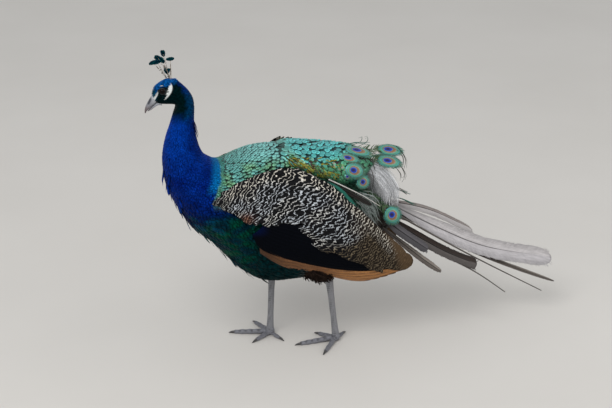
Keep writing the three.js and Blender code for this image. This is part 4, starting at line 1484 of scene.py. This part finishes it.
def dress_thighs():
    """Short dark fluff, with longer ragged tufts that hang below it."""
    random = np.random.default_rng(26)
    batches = []
    for leg in LEGS.values():
        form = thigh_form(leg)
        s, turn = rows_on(form, 0.0, 2.95, 4.6, random)
        size = np.interp(s, [0, 3], [20, 7]) * random.uniform(0.8, 1.2, len(s))
        batches.append(lay(form, s, turn, size, size * 0.2, SLIM, random, height=(-10.0, -5.0),
                           colour=fluff_colour, swing=jitter(random, 0.3, len(s)), thick=0.3, shade=0.35))
        count = 150
        s, turn = random.uniform(0.7, 2.3, count), random.uniform(-np.pi, np.pi, count)
        batches.append(lay(form, s, turn, random.uniform(14, 26, count), 1.6, SLIM, random,
                           height=(-8.0, random.uniform(-4, 5, count)), colour=fluff_colour,
                           swing=jitter(random, 0.8, count), thick=0.25, shade=0.5))
    coat_piece("coat_thighs", batches, "fluff")


def fluff_colour(points):
    return mixed((0.010, 0.006, 0.005), (0.024, 0.014, 0.010), patchiness(points, 7.0, 3.0))


# ---------------------------------------------------------------- coats of the back and the wings


# Scales of the train with a pale middle: x, z and the middle's colour.
PALE_SCALES = ((52, 421, PINK_GREY), (69, 411, PINK_GREY), (57, 393, (0.40, 0.22, 0.04)))


def train_colour(points):
    """Bright teal on top, green with gold and maroon lower down and towards the wing, and painted shade in
    dark green low at the rear.
    """
    x, z = side_view(points)
    low = smooth(-z + 0.12 * x, -432, -408)
    gold = np.exp(-(((x - 10) / 36) ** 2)) * smooth(-z - 0.6 * x, -438, -422)
    maroon = np.exp(-(((x - 6) / 17) ** 2) - ((z + 0.8 * x - 432) / 8) ** 2)
    return layered(
        TEAL,
        ((0.10, 0.44, 0.44), patchiness(points, 15.0) * (1 - low)),
        (TURQUOISE, 1 - smooth(x, -55, -15)),
        (GRASS, low * 0.85),
        (GOLD, 0.9 * gold * smooth(patchiness(points, 9.0, 3.0), 0.1, 0.5)),
        (MAROON, maroon * smooth(patchiness(points, 7.0, 1.0), 0.35, 0.6)),
        # Painted shade: dark green low at the rear, round the lowest eye spots.
        ((0.01, 0.07, 0.05), smooth(x, 70, 105) * smooth(-z, -402, -380)),
    )


def train_heart(points):
    """The middle of each scale: a little bluer than the scale, pale on a few."""
    x, z = side_view(points)
    colour = train_colour(points) * 0.8 + np.array((0.0, 0.05, 0.04))
    for pale_x, pale_z, tint in PALE_SCALES:
        near = np.exp(-((x - pale_x) ** 2 + (z - pale_z) ** 2) / 8.0**2)
        colour = mixed(colour, tint, smooth(near, 0.3, 0.7))
    return colour


def train_edge_barbs(random):
    """Olive, green and brown barbs that hang between the scales along the train's lower edges."""
    count = 420
    s = random.uniform(0.7, 3.2, count)
    turn = random.uniform(0.95, 1.65, count) * random.choice([-1, 1], count)
    tints = np.array((GOLD, GRASS, MAROON, (0.03, 0.05, 0.02)))
    tint = tints[random.choice(4, count, p=(0.4, 0.2, 0.2, 0.2))][:, None]
    toward = np.broadcast_to((1.0, 0, -0.5), (count, 3))
    return lay(TRAIN, s, turn, random.uniform(8, 16, count), 1.0, SLIM, random, thick=0.2, toward=toward,
               height=(0.5, random.uniform(2.5, 5.5, count)), colour=lambda points: tint,
               swing=jitter(random, 0.7, count))


def dress_train():
    random = np.random.default_rng(31)
    s, turn = rows_on(TRAIN, 0.05, TRAIN.last - 0.05, lambda s: 8.6 + 0.6 * s, random)
    size = np.interp(s, [0, TRAIN.last], [20, 30]) * random.uniform(0.88, 1.12, len(s))
    toward = np.broadcast_to((1.0, 0, -0.1), (len(s), 3)) + np.sin(turn)[:, None] * (0, 0.35, 0)
    tips = np.interp(s, [0, 1.5], [0.6, 3.4])
    feathers = lay(TRAIN, s, turn, size, size * 0.30, BROAD, random, height=(-1.5, tips),
                   colour=train_colour, toward=toward, thick=0.3, crown=1.2, shade=0.3, heart=train_heart,
                   by_width=True, swing=jitter(random, 0.15, len(s)))
    coat_piece("coat_train", [feathers], "train", ["train_back"])


def covert_direction(points):
    """Where the wing's barred feathers point: back, and more and more down towards the rear."""
    x = points[:, 0]
    fall = np.radians(np.interp(x, [-190, -60, 40, 120, 220], [8, 12, 20, 36, 42]))
    return np.stack([np.cos(fall), 0 * fall, -np.sin(fall)], 1)


def shoulder_patch(points):
    """How near a point is to the rusty patch low on the wing's shoulder."""
    x, z = side_view(points)
    return np.exp(-(((x + 133) / 13) ** 2) - ((z - 338) / 12) ** 2)


# The upper edge of the wing's bars, x and z, below which their cream ends.
CREAM_EDGE = (
    (-196, 372), (-150, 404), (-88, 425), (-27, 422), (40, 390), (92, 334), (152, 263), (222, 192),
)


def covert_colour(points):
    """The pale bars: cream on top, bluish white in the middle, buff to the rear, brown at the tip."""
    x, z = side_view(points)
    top = smooth(z - np.interp(x, *zip(*CREAM_EDGE)), -34, -8)
    rear = np.clip(smooth(x, 70, 130) + smooth(x, -30, 30) * smooth(-z, -275, -250), 0, 1) * (1 - 0.8 * top)
    return layered(
        BLUISH_WHITE,
        (CREAM, top),
        (CREAM, 0.5 * smooth(patchiness(points, 24.0), 0.45, 0.8)),
        (BUFF, rear),
        ((0.30, 0.30, 0.28), smooth(-x, 158, 185)),
        ((0.30, 0.15, 0.10), np.minimum(shoulder_patch(points) * 1.2, 1)),
        (TIP_BROWN, wing_tip(points)),
    )


def covert_ground(points):
    """The dark ground between the bars: black in front, brown-black to the rear."""
    return layered(
        BAR_BLACK,
        ((0.017, 0.012, 0.008), smooth(points[..., 0], 60, 130)),
        ((0.05, 0.022, 0.016), shoulder_patch(points)),
        (np.multiply(TIP_BROWN, 0.7), wing_tip(points)),
    )


def wing_tip(points):
    """How far a point is inside the wing's plain tip."""
    x, z = side_view(points)
    return smooth(x + 0.38 * (z - 190), 183, 198)


def wing_barred(batch):
    """A batch with "Measure" for the wing's bars: across its middle line, bars along it, and a seed."""
    line = curve([(x, 0, z) for x, z in WING_LINE], 200)[:, (0, 2)]
    tangent = unit(np.gradient(line, axis=0))
    reach = np.concatenate([[0], np.cumsum(np.linalg.norm(np.diff(line, axis=0), axis=1))])
    spacing = np.interp(reach, *zip(*BAR_SPACING))
    bars = np.concatenate([[0], np.cumsum(np.diff(reach) / spacing[1:])])
    flat = batch.points.reshape(-1, 3)[:, (0, 2)]
    nearest = nearest_of(flat, line)
    off, ahead = flat - line[nearest], tangent[nearest]
    across = off[:, 1] * ahead[:, 0] - off[:, 0] * ahead[:, 1]
    slant = 0.6 * (1 - smooth(flat[:, 0], 0, 80)) * across
    number = bars[nearest] + ((off * ahead).sum(1) - slant) / spacing[nearest]
    seed = batch.vane[..., 2].ravel()
    batch.measure = np.stack([across, number, seed], 1).reshape(batch.points.shape)
    return batch


def cut_to_outline(points, direction, length, outline):
    """Lengths cut so that each feather's tip stays in an outline, and which feathers have room."""
    fits = np.zeros(len(points), bool)
    cut = length.copy()
    for share in (1.0, 0.85, 0.7, 0.55, 0.42, 0.3):
        tip = points + direction * (length * share)[:, None]
        now = inside_outline(tip, outline) & ~fits
        cut[now] = length[now] * share
        fits |= now
    return cut, fits


def raised_scapulars(random):
    """Barred feathers of the right shoulder that stand up beside the back."""
    count = 30
    x = np.linspace(-70, -12, count)
    s = np.interp(x, FLANK.rings[:, 0], np.arange(FLANK.last + 1))
    turn = random.uniform(0.62, 0.72, count)
    return lay(FLANK, s, turn, random.uniform(14, 20, count), 4.5, BROAD, random, height=(13, 22),
               colour=covert_colour, swing=random.uniform(-0.5, -0.1, count), thick=0.3, heart=covert_ground)


def tertial_paths():
    """The long barred feathers in side view. The last one makes the wing's rounded tip."""
    share = np.linspace(0, 1, 9)
    root = np.stack([-20 + 82 * share, 312 + 40 * share], 1)
    middle = np.stack([54 + 80 * share, 266 + 8 * share], 1)
    tip = np.stack([142 + 66 * share, 207 - 8 * share - 26 * share * (1 - share)], 1)
    return [*np.stack([root, middle, tip], 1), ((36, 268), (130, 220), (222, 187))]


def dress_coverts(name, side):
    """Rows of barred feathers, over the long ones that reach the wing's tip."""
    random = np.random.default_rng(40 + side)
    s, turn = rows_on(FLANK, 0, FLANK.last, lambda s: np.interp(s, [0, 5, 9], [5.6, 8, 9]), random)
    points = FLANK.at(s, turn, WING_STAND["coverts"])
    keep = inside_outline(points, COVERT_OUTLINE) & (turn * side > 0) & (points[:, 0] < TERTIALS_FROM)
    s, turn, points = s[keep], turn[keep], points[keep]
    direction = covert_direction(points)
    length = np.interp(points[:, 0], [-190, -60, 60, 160, 220], [17, 26, 36, 42, 34])
    length = length * random.uniform(0.9, 1.1, len(s))
    length, fits = cut_to_outline(points, direction, length, COVERT_OUTLINE)
    s, turn, length, direction = s[fits], turn[fits], length[fits], direction[fits]
    feathers = lay(FLANK, s, turn, length, np.maximum(length * 0.17, 3.2) + 1.0, BROAD, random,
                   height=(WING_STAND["coverts"] - 2.6, WING_STAND["coverts"] + 0.9), colour=covert_colour,
                   toward=direction, thick=0.3, crown=0.9, shade=0.2, heart=covert_ground)
    long_ones = flank_vanes(tertial_paths(), [11] * 9 + [19], WING_STAND["coverts"] - 1.2, side,
                            covert_colour, 44 + side)
    long_ones.heart = covert_ground(long_ones.points)
    batches = [feathers, long_ones] + ([raised_scapulars(random)] if side > 0 else [])
    coat_piece(f"coat_wing_{name}_coverts", [wing_barred(batch) for batch in batches], "barred",
               [f"wing_{name}_coverts"])


def flank_vanes(paths, widths, stand, side, colour, seed, steps=22):
    """Long vanes on the flank along paths given in side view. Earlier ones lie under later ones."""
    random = np.random.default_rng(seed)
    across = np.array([-1, -0.85, -0.5, -0.08, 0, 0.08, 0.5, 0.85, 1])
    grids, seeds = [], random.uniform(0, 1, len(paths))
    share = np.linspace(0, 1, steps)
    tip = np.sqrt(np.maximum(1 - smooth(share, 0.8, 1.03) ** 1.5, 0.02))
    profile = (0.5 + 0.5 * smooth(share, 0, 0.3)) * tip
    for number, (path, width) in enumerate(zip(paths, widths)):
        line = curve([(x, 0, z) for x, z in path], steps)
        tangent = unit(np.gradient(line, axis=0))
        out = np.stack([-tangent[:, 2], tangent[:, 0]], 1)
        spread = width * profile[:, None] * across
        layer = stand - 2.5 + 2.5 * (number + 1) / len(paths) + 0.8 * share[:, None] - 0.5 * np.abs(across)
        x, z = line[:, :1] + out[:, :1] * spread, line[:, 2:] + out[:, 1:] * spread
        grids.append(on_flank(x, z, layer, side))
    grids = np.array(grids)
    count = len(grids)
    thick = np.interp(np.abs(across), [0, 0.08, 0.5, 1], [0.9, 0.35, 0.25, 0.12])
    reach = np.linalg.norm(np.diff(grids[:, :, 4], axis=1), axis=2).sum(1)
    roots = np.stack([np.full(count, 0.5), (np.arange(count) + 0.5) / count], 1)
    mm_across = np.array(widths)[:, None, None] * profile[:, None] * across
    return sheets(grids, thick, colour, roots, seeds, (across, mm_across), (share, share * reach[:, None]))


# Long wing feathers in side view: the lowest path and the highest of each group, and the half width.
SECONDARY_PATHS = (
    ((-118, 306), (-100, 277), (-48, 249), (32, 215), (92, 200), (190, 186)),
    ((-95, 324), (-58, 318), (-10, 300), (45, 275), (85, 252), (125, 222)),
)
PRIMARY_PATHS = (
    ((-104, 260), (-62, 229), (-8, 197), (52, 165), (92, 158), (134, 155)),
    ((-106, 276), (-58, 243), (2, 216), (66, 194), (132, 180), (204, 175)),
)


def between(paths, count):
    """Paths from the first to the second of two."""
    low, high = np.array(paths, float)
    return [low + (high - low) * k for k in np.linspace(0, 1, count)]


def dress_flight(name, side):
    """The blue-black secondaries and, under them, the rufous primaries."""
    for part, paths, count, half, colour, look, seed in (
        ("secondaries", SECONDARY_PATHS, 9, 9.5, secondary_colour, "black", 50),
        ("primaries", PRIMARY_PATHS, 5, 7.5, rufous_colour, "rufous", 60),
    ):
        vanes = flank_vanes(between(paths, count), [half] * count, WING_STAND[part], side, colour,
                            seed + side, steps=40)
        coat_piece(f"coat_wing_{name}_{part}", [vanes], look, [f"wing_{name}_{part}"])


def secondary_colour(points):
    """Near black, with a painted dark blue sheen towards the front."""
    x, z = side_view(points)
    return mixed((0.0022, 0.0028, 0.0048), (0.002, 0.006, 0.034), smooth(-x, 84, 112) * smooth(z, 294, 312))


# The primaries' lower edge in side view: x and z.
PRIMARY_EDGE = (
    (-112, 271), (-61, 229), (-29, 220), (21, 173), (58, 152), (101, 146), (136, 147), (200, 160),
)


def rufous_colour(points):
    """Orange-brown with dark lines along the vanes, darker towards the front and paler low at the rear."""
    x, z = side_view(points)
    above = z - np.interp(x, *zip(*PRIMARY_EDGE))
    line = smooth(np.sin(above * 2 * np.pi / 9 + 0.8 * np.sin(x / 23)), 0.55, 0.95)
    return layered(
        (0.07, 0.030, 0.013),
        ((0.22, 0.092, 0.032), smooth(x, -110, -30)),
        ((0.40, 0.18, 0.06), smooth(x, 20, 90)),
        ((0.045, 0.018, 0.008), 0.65 * line),
        ((0.36, 0.17, 0.07), 0.7 * smooth(x, 20, 70) * smooth(-z, -162, -152)),
    )


# ---------------------------------------------------------------- train feathers, down and tail


def rolled_up(roll):
    angle = math.radians(roll)
    return np.array((0, -math.sin(angle), math.cos(angle)))


FRINGE = (0.05, 0.27, 0.24)
SPOT_DOME = 2.0  # how far the vane drops below its middle, in millimetres at the radius of its rings
SPOT_GROW = 1.28  # the vane's size against its rings
FRINGE_BARBS = 110


def eye_feather(centre, along, up, spot, random):
    """An eye spot on its oval of vane, with a fringe of loose barbs. "spot" is the radii of its rings."""
    centre, along = np.array(centre, float), unit(np.array(along, float))
    side = unit(np.cross(up, along))
    top = np.cross(along, side)
    long, wide = spot

    def raised(x, y):
        """Points of the vane's dome, from shares of the rings' radii."""
        x, y = x[..., None], y[..., None]
        return centre + side * x * wide + along * y * long - top * SPOT_DOME * (x**2 + y**2)

    across = np.linspace(-1, 1, 13)
    t = -np.cos(np.linspace(0.12, np.pi - 0.12, 17))
    x = SPOT_GROW * np.sqrt(1 - t**2)[:, None] * across
    y = SPOT_GROW * np.broadcast_to(t[:, None], x.shape)
    seed = random.uniform(0, 1, 1)
    root = np.array([[0.5, seed[0]]])
    thick = np.interp(np.abs(across), [0, 0.3, 1], [0.5, 0.3, 0.12])
    share = t * 0.5 + 0.5
    disc = sheets(raised(x, y)[None], thick, np.array(FRINGE), root, seed, (x, x), (share, share))
    local = together(x, y, seed[0]).reshape(1, -1, 3)
    disc.measure = np.concatenate([local, local], 1)
    angle = np.linspace(-2.75, 2.75, FRINGE_BARBS) + jitter(random, 0.03, FRINGE_BARBS)
    start = np.stack([np.sin(angle), np.cos(angle)], 1) * 0.95
    lean = unit(start + (0, 0.75))
    stop = start * SPOT_GROW + lean * random.uniform(0.30, 0.60, FRINGE_BARBS)[:, None]
    stations = (start, (start * SPOT_GROW + stop) / 2 * 0.97, stop + (0, 0.08))
    paths = bows(*(raised(*spots.T) for spots in stations), 5)
    tints = mixed(FRINGE, (0.12, 0.12, 0.03), random.uniform(0, 0.8, FRINGE_BARBS))[:, None]
    width = np.array([0.6, 0.6, 0.5, 0.35, 0.12])
    return disc, ribbons(paths, top, width, 0.15, tints, np.repeat(root, FRINGE_BARBS, 0), random)


EYE_SPOTS = {
    # middle, direction, roll, radii of the rings: small ones on the back, then the long feathers'
    "teal": ((111, -26, 434), (1, -0.05, -0.25), 22, (20, 9.5)),
    "violet": ((87, -46, 427), (1, -0.12, -0.25), 40, (15.5, 8)),
    "large": ((94.5, -65, 406.5), (1, -0.08, -0.3), 62, (14.5, 11)),
    "low": ((114.4, -62, 378), (1, 0.1, -0.5), 70, (10.5, 10)),
    "dark": ((80, -67, 395), (1, -0.05, -0.4), 78, (5.5, 5)),
    "far_low": ((98, 52, 413), (1, 0.05, -0.3), -55, (13, 10)),
    "far_side": ((66, 64, 402), (1, 0.1, -0.3), -68, (11, 9)),
    "upper": ((189, 18, 412), (105, 4, -16), 36, (20, 10)),
    "lower": ((180, -12, 399), (99, -4, -22), 40, (19, 10)),
    "far": ((176, 44, 392), (92, 10, -10), -30, (15, 9.5)),
    "hanging": ((181, -48, 292), (85, -18, -70), 68, (13.5, 13)),
}
TRAIN_SHAFT_ROOTS = {
    "upper": (84, 14, 412), "lower": (84, -8, 400), "far": (84, 34, 400), "hanging": (96, -30, 372),
}


def dress_eye_spots():
    random = np.random.default_rng(71)
    discs, fringes, shafts = [], [train_edge_barbs(random)], []
    for name, (centre, along, roll, spot) in EYE_SPOTS.items():
        disc, fringe = eye_feather(centre, along, rolled_up(roll), spot, random)
        discs.append(disc)
        fringes.append(fringe)
        if name in TRAIN_SHAFT_ROOTS:
            root = np.array(TRAIN_SHAFT_ROOTS[name], float)
            end = np.array(centre, float) - unit(np.array(along, float)) * spot[0] * 1.1
            shafts.append(curve([root, (root + end) / 2 + (0, 0, 3), end], 16))
            fringes.append(loose_barbs(shafts[-1], rolled_up(roll), random))
    bake = np.stack([np.full(len(shafts), 0.25), np.linspace(0.1, 0.9, len(shafts))], 1)
    width = np.linspace(1.3, 0.6, 16)
    fringes.append(ribbons(np.array(shafts), (0, -0.5, 1), width, width * 0.8, (0.10, 0.10, 0.07), bake,
                           random))
    coat_piece("eye_spots", discs, "eye spot")
    coat_piece("train_barbs", fringes, "barbs",
               [f"train_feather_{name}" for name in TRAIN_SHAFT_ROOTS])


def loose_barbs(shaft, up, random):
    """Loose barbs along both sides of a train feather's shaft."""
    count = 90
    share = random.uniform(0.25, 0.92, count)
    start = catmull(shaft, share * (len(shaft) - 1))
    tangent = unit(shaft[-1] - shaft[0])
    side = unit(np.cross(up, tangent)) * random.choice([-1, 1], count)[:, None]
    reach = random.uniform(9, 17, count)[:, None]
    stop = start + (tangent * 0.75 + side * 0.65) * reach + up * jitter(random, 2, count)[:, None]
    middle = (start + stop) / 2 + side * reach * 0.12
    paths = bows(start, middle, stop, 6)
    bake = np.stack([share, np.full(count, 0.4)], 1)
    width = np.array([0.5, 0.5, 0.45, 0.4, 0.3, 0.1])
    return ribbons(paths, up, width, 0.14, (0.06, 0.12, 0.05), bake, random, shade=0.4)


DOWN_AXIS = {"x": 116, "z": 318}  # the level line from side to side that the down arches over
DOWN_SPREAD = 36  # how far it reaches to each side


def dress_down():
    """Loose pale down that arches back from under the train and falls over the tail's root."""
    random = np.random.default_rng(81)
    count = 2600
    side = jitter(random, 1, count)
    girth = np.sqrt(1 - (0.75 * side) ** 2)
    long = (22 + 72 * random.random(count) ** 0.9) * girth
    high = random.uniform(66, 86, count) * (0.5 + 0.5 * girth)
    begin = np.radians(random.uniform(-12, 45, count))
    sweep = np.radians(random.uniform(35, 75, count))
    angle = begin[:, None] + sweep[:, None] * np.linspace(0, 1, 9)
    x = DOWN_AXIS["x"] + long[:, None] * np.sin(angle)
    z = DOWN_AXIS["z"] + high[:, None] * np.cos(angle) - 6 * smooth(x, 150, 205)
    y = DOWN_SPREAD * side[:, None] * (0.6 + 0.4 * np.sin(np.maximum(angle, 0)))
    paths = np.stack([x, y, z], -1) + jitter(random, 3, (count, 1, 3))
    paths += jitter(random, 4, (count, 1, 3)) * np.linspace(0, 1, 9)[:, None] ** 2
    light = smooth(long, 25, 60) * random.uniform(0.5, 1.0, count)
    tint = mixed((0.20, 0.215, 0.215), (0.92, 0.92, 0.94), light)
    bake = np.stack([random.random(count), 0.5 + 0.45 * side], 1)
    width = np.array([0.5, 0.6, 0.65, 0.6, 0.55, 0.45, 0.35, 0.25, 0.1])
    strands = ribbons(paths, (0.3, -0.4, 1), width, 0.16, tint[:, None], bake, random, shade=0.35)
    coat_piece("down", [strands], "down", ["rump_down"])


# Single barbs and quills that stand clear of the rest: their colour, half width, how many barbs
# lie side by side, and points along them.
LOOSE_STRANDS = (
    ((0.03, 0.034, 0.02), 0.7, 3, ((203, 18, 418), (216, 18, 403), (225, 18, 385), (223, 18, 368))),
    ((0.03, 0.034, 0.02), 0.6, 3, ((205, 18, 409), (219, 18, 392), (222, 18, 374))),
    ((0.03, 0.034, 0.02), 0.7, 3, ((198, -12, 393), (210, -12, 379), (217, -12, 363), (214, -12, 352))),
    ((0.03, 0.034, 0.02), 0.6, 3, ((194, -12, 384), (206, -12, 368), (209, -12, 354))),
    ((0.04, 0.042, 0.04), 0.6, 4, ((132, -22, 415), (143, -22, 401), (150, -22, 381), (151, -22, 362))),
    ((0.05, 0.045, 0.04), 0.5, 3, ((120, -30, 409), (136, -32, 394), (143, -34, 372), (140, -34, 350))),
    ((0.05, 0.045, 0.04), 0.5, 3, ((140, 10, 420), (160, 8, 405), (172, 6, 386), (178, 4, 360))),
    ((0.04, 0.11, 0.08), 0.5, 2, ((100, 0, 433), (113, 0, 437), (124, 0, 442), (126, 0, 450), (121, 0, 449))),
    ((0.04, 0.11, 0.08), 0.5, 2, ((118, 0, 431), (132, 0, 437), (138, 0, 443), (138, 0, 451), (133, 0, 450))),
    ((0.02, 0.14, 0.11), 0.9, 4, ((92, 0, 437), (112, 0, 440), (138, 0, 437))),
    ((0.02, 0.11, 0.08), 0.9, 4, ((168, 10, 330), (203, 10, 324), (230, 10, 313))),
    ((0.02, 0.11, 0.08), 0.9, 4, ((176, 10, 312), (213, 10, 303), (246, 10, 286))),
    ((0.10, 0.09, 0.08), 0.8, 5, ((165, 0, 338), (196, 0, 334), (222, 0, 318))),
    ((0.62, 0.58, 0.55), 1.6, 1, ((41, -66, 392), (76, -66, 372), (112, -66, 350), (150, -64, 322))),
)
# A brown covert and a green one that lie behind the wing's upper edge: path, half width, roll and colour. The
# brown one is near black, as painted shade under the bare quill.
LOOSE_VANES = (
    # near-black brown: a covert that also stands for painted shade under the bare quill
    (((38, -62, 386), (86, -64, 357), (132, -63, 326)), 5.5, 66, (0.020, 0.016, 0.013)),
    (((36, -70, 388), (66, -72, 362), (100, -72, 318)), 8, 72, (0.015, 0.15, 0.11)),
    (((56, -66, 364), (94, -70, 322), (130, -66, 278)), 10, 70, (0.03, 0.045, 0.035)),
)


def side_down(random):
    """Soft grey-green down that hangs between the wing's upper edge and the train's lowest eye spot."""
    count = 200
    start = random.uniform((84, -60, 316), (118, -42, 352), (count, 3))
    reach = random.uniform((12, -6, -58), (42, 2, -22), (count, 3))
    middle = start + 0.5 * reach + random.uniform((2, -2, 0), (9, 2, 8), (count, 3))
    paths = bows(start, middle, start + reach, 7)
    tint = mixed((0.10, 0.15, 0.12), (0.40, 0.43, 0.42), random.random(count))[:, None]
    bake = np.stack([random.random(count), np.full(count, 0.7)], 1)
    width = np.array([0.5, 0.7, 0.7, 0.6, 0.5, 0.35, 0.15])
    return ribbons(paths, (0.1, -1, 0.3), width, 0.15, tint, bake, random, shade=0.3)


def dress_loose_feathers():
    """Curled barbs, a bare quill and the loose coverts between the wing and the train."""
    random = np.random.default_rng(83)
    batches = []
    for tint, half, count, points in LOOSE_STRANDS:
        line = curve(points, 18)
        fan = np.linspace(0, 1, 18)[:, None] ** 2 * jitter(random, 5, (count, 1, 3)) * (count > 1)
        width = half * np.linspace(1, 0.35, 18)
        bake = np.stack([np.full(count, 0.6), random.uniform(0.1, 0.9, count)], 1)
        batches.append(ribbons(line + fan, (0.2, -1, 0.5), width, width * 0.5, tint, bake, random))
    for number, (points, half, roll, tint) in enumerate(LOOSE_VANES):
        batches += tail_feather(points, half, roll, 0.7, (tint, tint), random, number)
    batches.append(side_down(random))
    coat_piece("loose_feathers", batches, "tail")


# The upper and the lower half of each kind of tail feather.
TAIL_COLOURS = {
    "pale": ((0.46, 0.43, 0.425), (0.44, 0.415, 0.42)),
    "mist": ((0.24, 0.20, 0.18), (0.40, 0.37, 0.36)),
    "grey": ((0.20, 0.175, 0.155), (0.14, 0.125, 0.115)),
    "brown": ((0.024, 0.015, 0.011), (0.080, 0.069, 0.064)),
    "slate": ((0.085, 0.078, 0.083), (0.060, 0.056, 0.060)),
    "ash": ((0.21, 0.18, 0.155), (0.10, 0.083, 0.072)),
}


def blade_width(share, quill, full, tip):
    """A vane's half width along it, from the quill's to the full one, narrowing from "tip" on."""
    opening = np.sin(0.5 * np.pi * np.minimum(share / 0.55, 1))
    rounding = np.sqrt(np.maximum(1 - np.maximum((share - tip) / (1 - tip), 0) ** 2, 0.05))
    return (quill + (full - quill) * opening) * rounding


def tail_feather(path, width, roll, tip, tint, random, number):
    """A stiff feather: its vane, the barbs that fray its edges, and its shaft."""
    steps = 48
    line = curve(path, steps)
    share = np.linspace(0, 1, steps)
    tangent = unit(np.gradient(line, axis=0))
    side = unit(np.cross(rolled_up(roll), tangent))
    top = np.cross(tangent, side)
    half = blade_width(share, 2.2, width - 0.6, tip)
    across = np.array([-1, -0.9, -0.6, -0.25, -0.06, 0, 0.06, 0.25, 0.6, 0.9, 1])
    ragged = 1 - 0.10 * random.random((steps, 2)) * smooth(share, 0.3, 0.6)[:, None]
    reach = half[:, None] * across * np.where(across < 0, ragged[:, :1], ragged[:, 1:])
    cup = -0.10 * np.abs(across) * half[:, None]
    grid = line[:, None] + side[:, None] * reach[..., None] + top[:, None] * cup[..., None]
    thick = np.interp(np.abs(across), [0, 0.06, 0.25, 1], [0.9, 0.4, 0.3, 0.12])
    seed = random.uniform(0, 1, 1)
    bake = np.array([[0.5, 0.05 + 0.1 * number]])
    length = np.linalg.norm(np.diff(line, axis=0), axis=1).sum()
    upper, lower = np.array(tint)
    fade = 0.55 + 0.45 * smooth(share, 0.05, 0.35)
    shown = np.where(across[:, None] > 0, upper, lower) * fade[:, None, None]
    colour = np.concatenate([shown.reshape(-1, 3)] * 2)[None]
    vane = sheets(grid[None], thick, colour, bake, seed, (across, reach), (share, share * length))
    count = int(length * 0.75)
    barb_share = np.sort(random.uniform(0.12, 0.985, count))
    place_on = barb_share * (steps - 1)
    start, way = catmull(line, place_on), random.choice([-1.0, 1.0], count)[:, None]
    wide = np.interp(barb_share, share, half)[:, None]
    sides, tangents, tops = catmull(side, place_on) * way, catmull(tangent, place_on), catmull(top, place_on)
    inner = start + sides * wide * 0.55 - tops * 0.05 * wide
    spread = random.uniform(0.97, 1.06, (count, 1))
    outer = start + sides * wide * spread + tangents * wide * 0.5 - tops * 0.1 * wide
    paths = bows(inner, (inner + outer) / 2, outer, 4)
    barb_bake = np.stack([barb_share, np.full(count, 0.05 + 0.1 * number)], 1)
    edge_tint = np.where(way > 0, upper, lower) * np.interp(barb_share, share, fade)[:, None]
    fray = ribbons(paths, tops[:, None], np.array([0.5, 0.55, 0.5, 0.2]), 0.16, edge_tint[:, None],
                   barb_bake, random)
    quill = np.linspace(2.0, 0.7, steps)
    shaft = ribbons((line + top * 0.4)[None], top, quill, quill * 0.6, upper * 0.3, bake, random)
    return [vane, fray, shaft]


def dress_tail():
    random = np.random.default_rng(91)
    for number, (name, (path, width, roll, tip, tint)) in enumerate(TAIL_FEATHERS.items()):
        batches = tail_feather(path, width, roll, tip, TAIL_COLOURS[tint], random, number)
        coat_piece(f"rectrix_{name}", batches, "tail", [f"tail_{name}"])
    for number, (name, path) in enumerate(BARE_SHAFTS.items()):
        line = curve(path, 40)[None]
        width = np.linspace(3.0, 1.3, 40)
        bake = np.array([[0.5, 0.9]])
        shaft = ribbons(line, (0, 0, 1), width, width * 0.8, (0.10, 0.085, 0.075), bake, random)
        coat_piece(f"worn_{name}", [shaft], "down", [f"tail_{name}"])


# ---------------------------------------------------------------- studio


FLOOR_HALF = 40  # metres


def pale_floor():
    finish = Finish("floor", roughness=0.9)
    cloud = finish.noise(finish.node("TexCoord", output="Object"), 2.5, 3.0)
    finish.done(finish.mix(cloud, (0.60, 0.57, 0.53), (0.66, 0.63, 0.59)))
    mesh = bpy.data.meshes.new("floor")
    corners = [(FLOOR_HALF * x, FLOOR_HALF * y, 0) for x, y in ((-1, -1), (1, -1), (1, 1), (-1, 1))]
    mesh.from_pydata(corners, [], [(0, 1, 2, 3)])
    mesh.materials.append(finish.material)
    floor = linked("floor", mesh)


def soft_light(name, spot, target, size, power):
    lamp = bpy.data.lights.new(name, "AREA")
    lamp.size = size
    lamp.energy = power
    made = linked(name, lamp)
    made.location = spot
    made.rotation_euler = (Vector(target) - Vector(spot)).to_track_quat("-Z", "Y").to_euler()


def studio():
    world = bpy.data.worlds.new("studio")
    world.use_nodes = True
    background = world.node_tree.nodes["Background"]
    background.inputs["Color"].default_value = (0.94, 0.97, 1.0, 1)
    background.inputs["Strength"].default_value = 0.65
    bpy.context.scene.world = world
    middle = (0, 0, 0.3)
    soft_light("key", (-1.6, -2.0, 3.2), middle, 2.2, 75)
    soft_light("fill", (2.4, -1.2, 1.8), middle, 2.5, 18)
    bpy.context.scene.view_settings.view_transform = "Standard"


def set_camera():
    turn, rise = math.radians(CAMERA["azimuth"]), math.radians(CAMERA["elevation"])
    back = Vector((math.sin(turn) * math.cos(rise), -math.cos(turn) * math.cos(rise), math.sin(rise)))
    lens = bpy.data.cameras.new("camera")
    lens.lens = CAMERA["lens"]
    lens.sensor_width = 36
    camera = linked("camera", lens)
    camera.location = place(CAMERA["place"])
    camera.rotation_euler = (-back).to_track_quat("-Z", "Y").to_euler()
    bpy.context.scene.camera = camera


# ---------------------------------------------------------------- the bird

set_camera()
studio()
pale_floor()
dress_skin()
dress_eyes()
dress_bill()
dress_claws()
dress_crest()
dress_head()
dress_neck()
dress_breast()
dress_belly()
dress_rump()
dress_mantle()
dress_thighs()
dress_train()
for wing_name, wing_side in (("left", -1), ("right", 1)):
    dress_coverts(wing_name, wing_side)
    dress_flight(wing_name, wing_side)
dress_eye_spots()
dress_down()
dress_loose_feathers()
dress_tail()
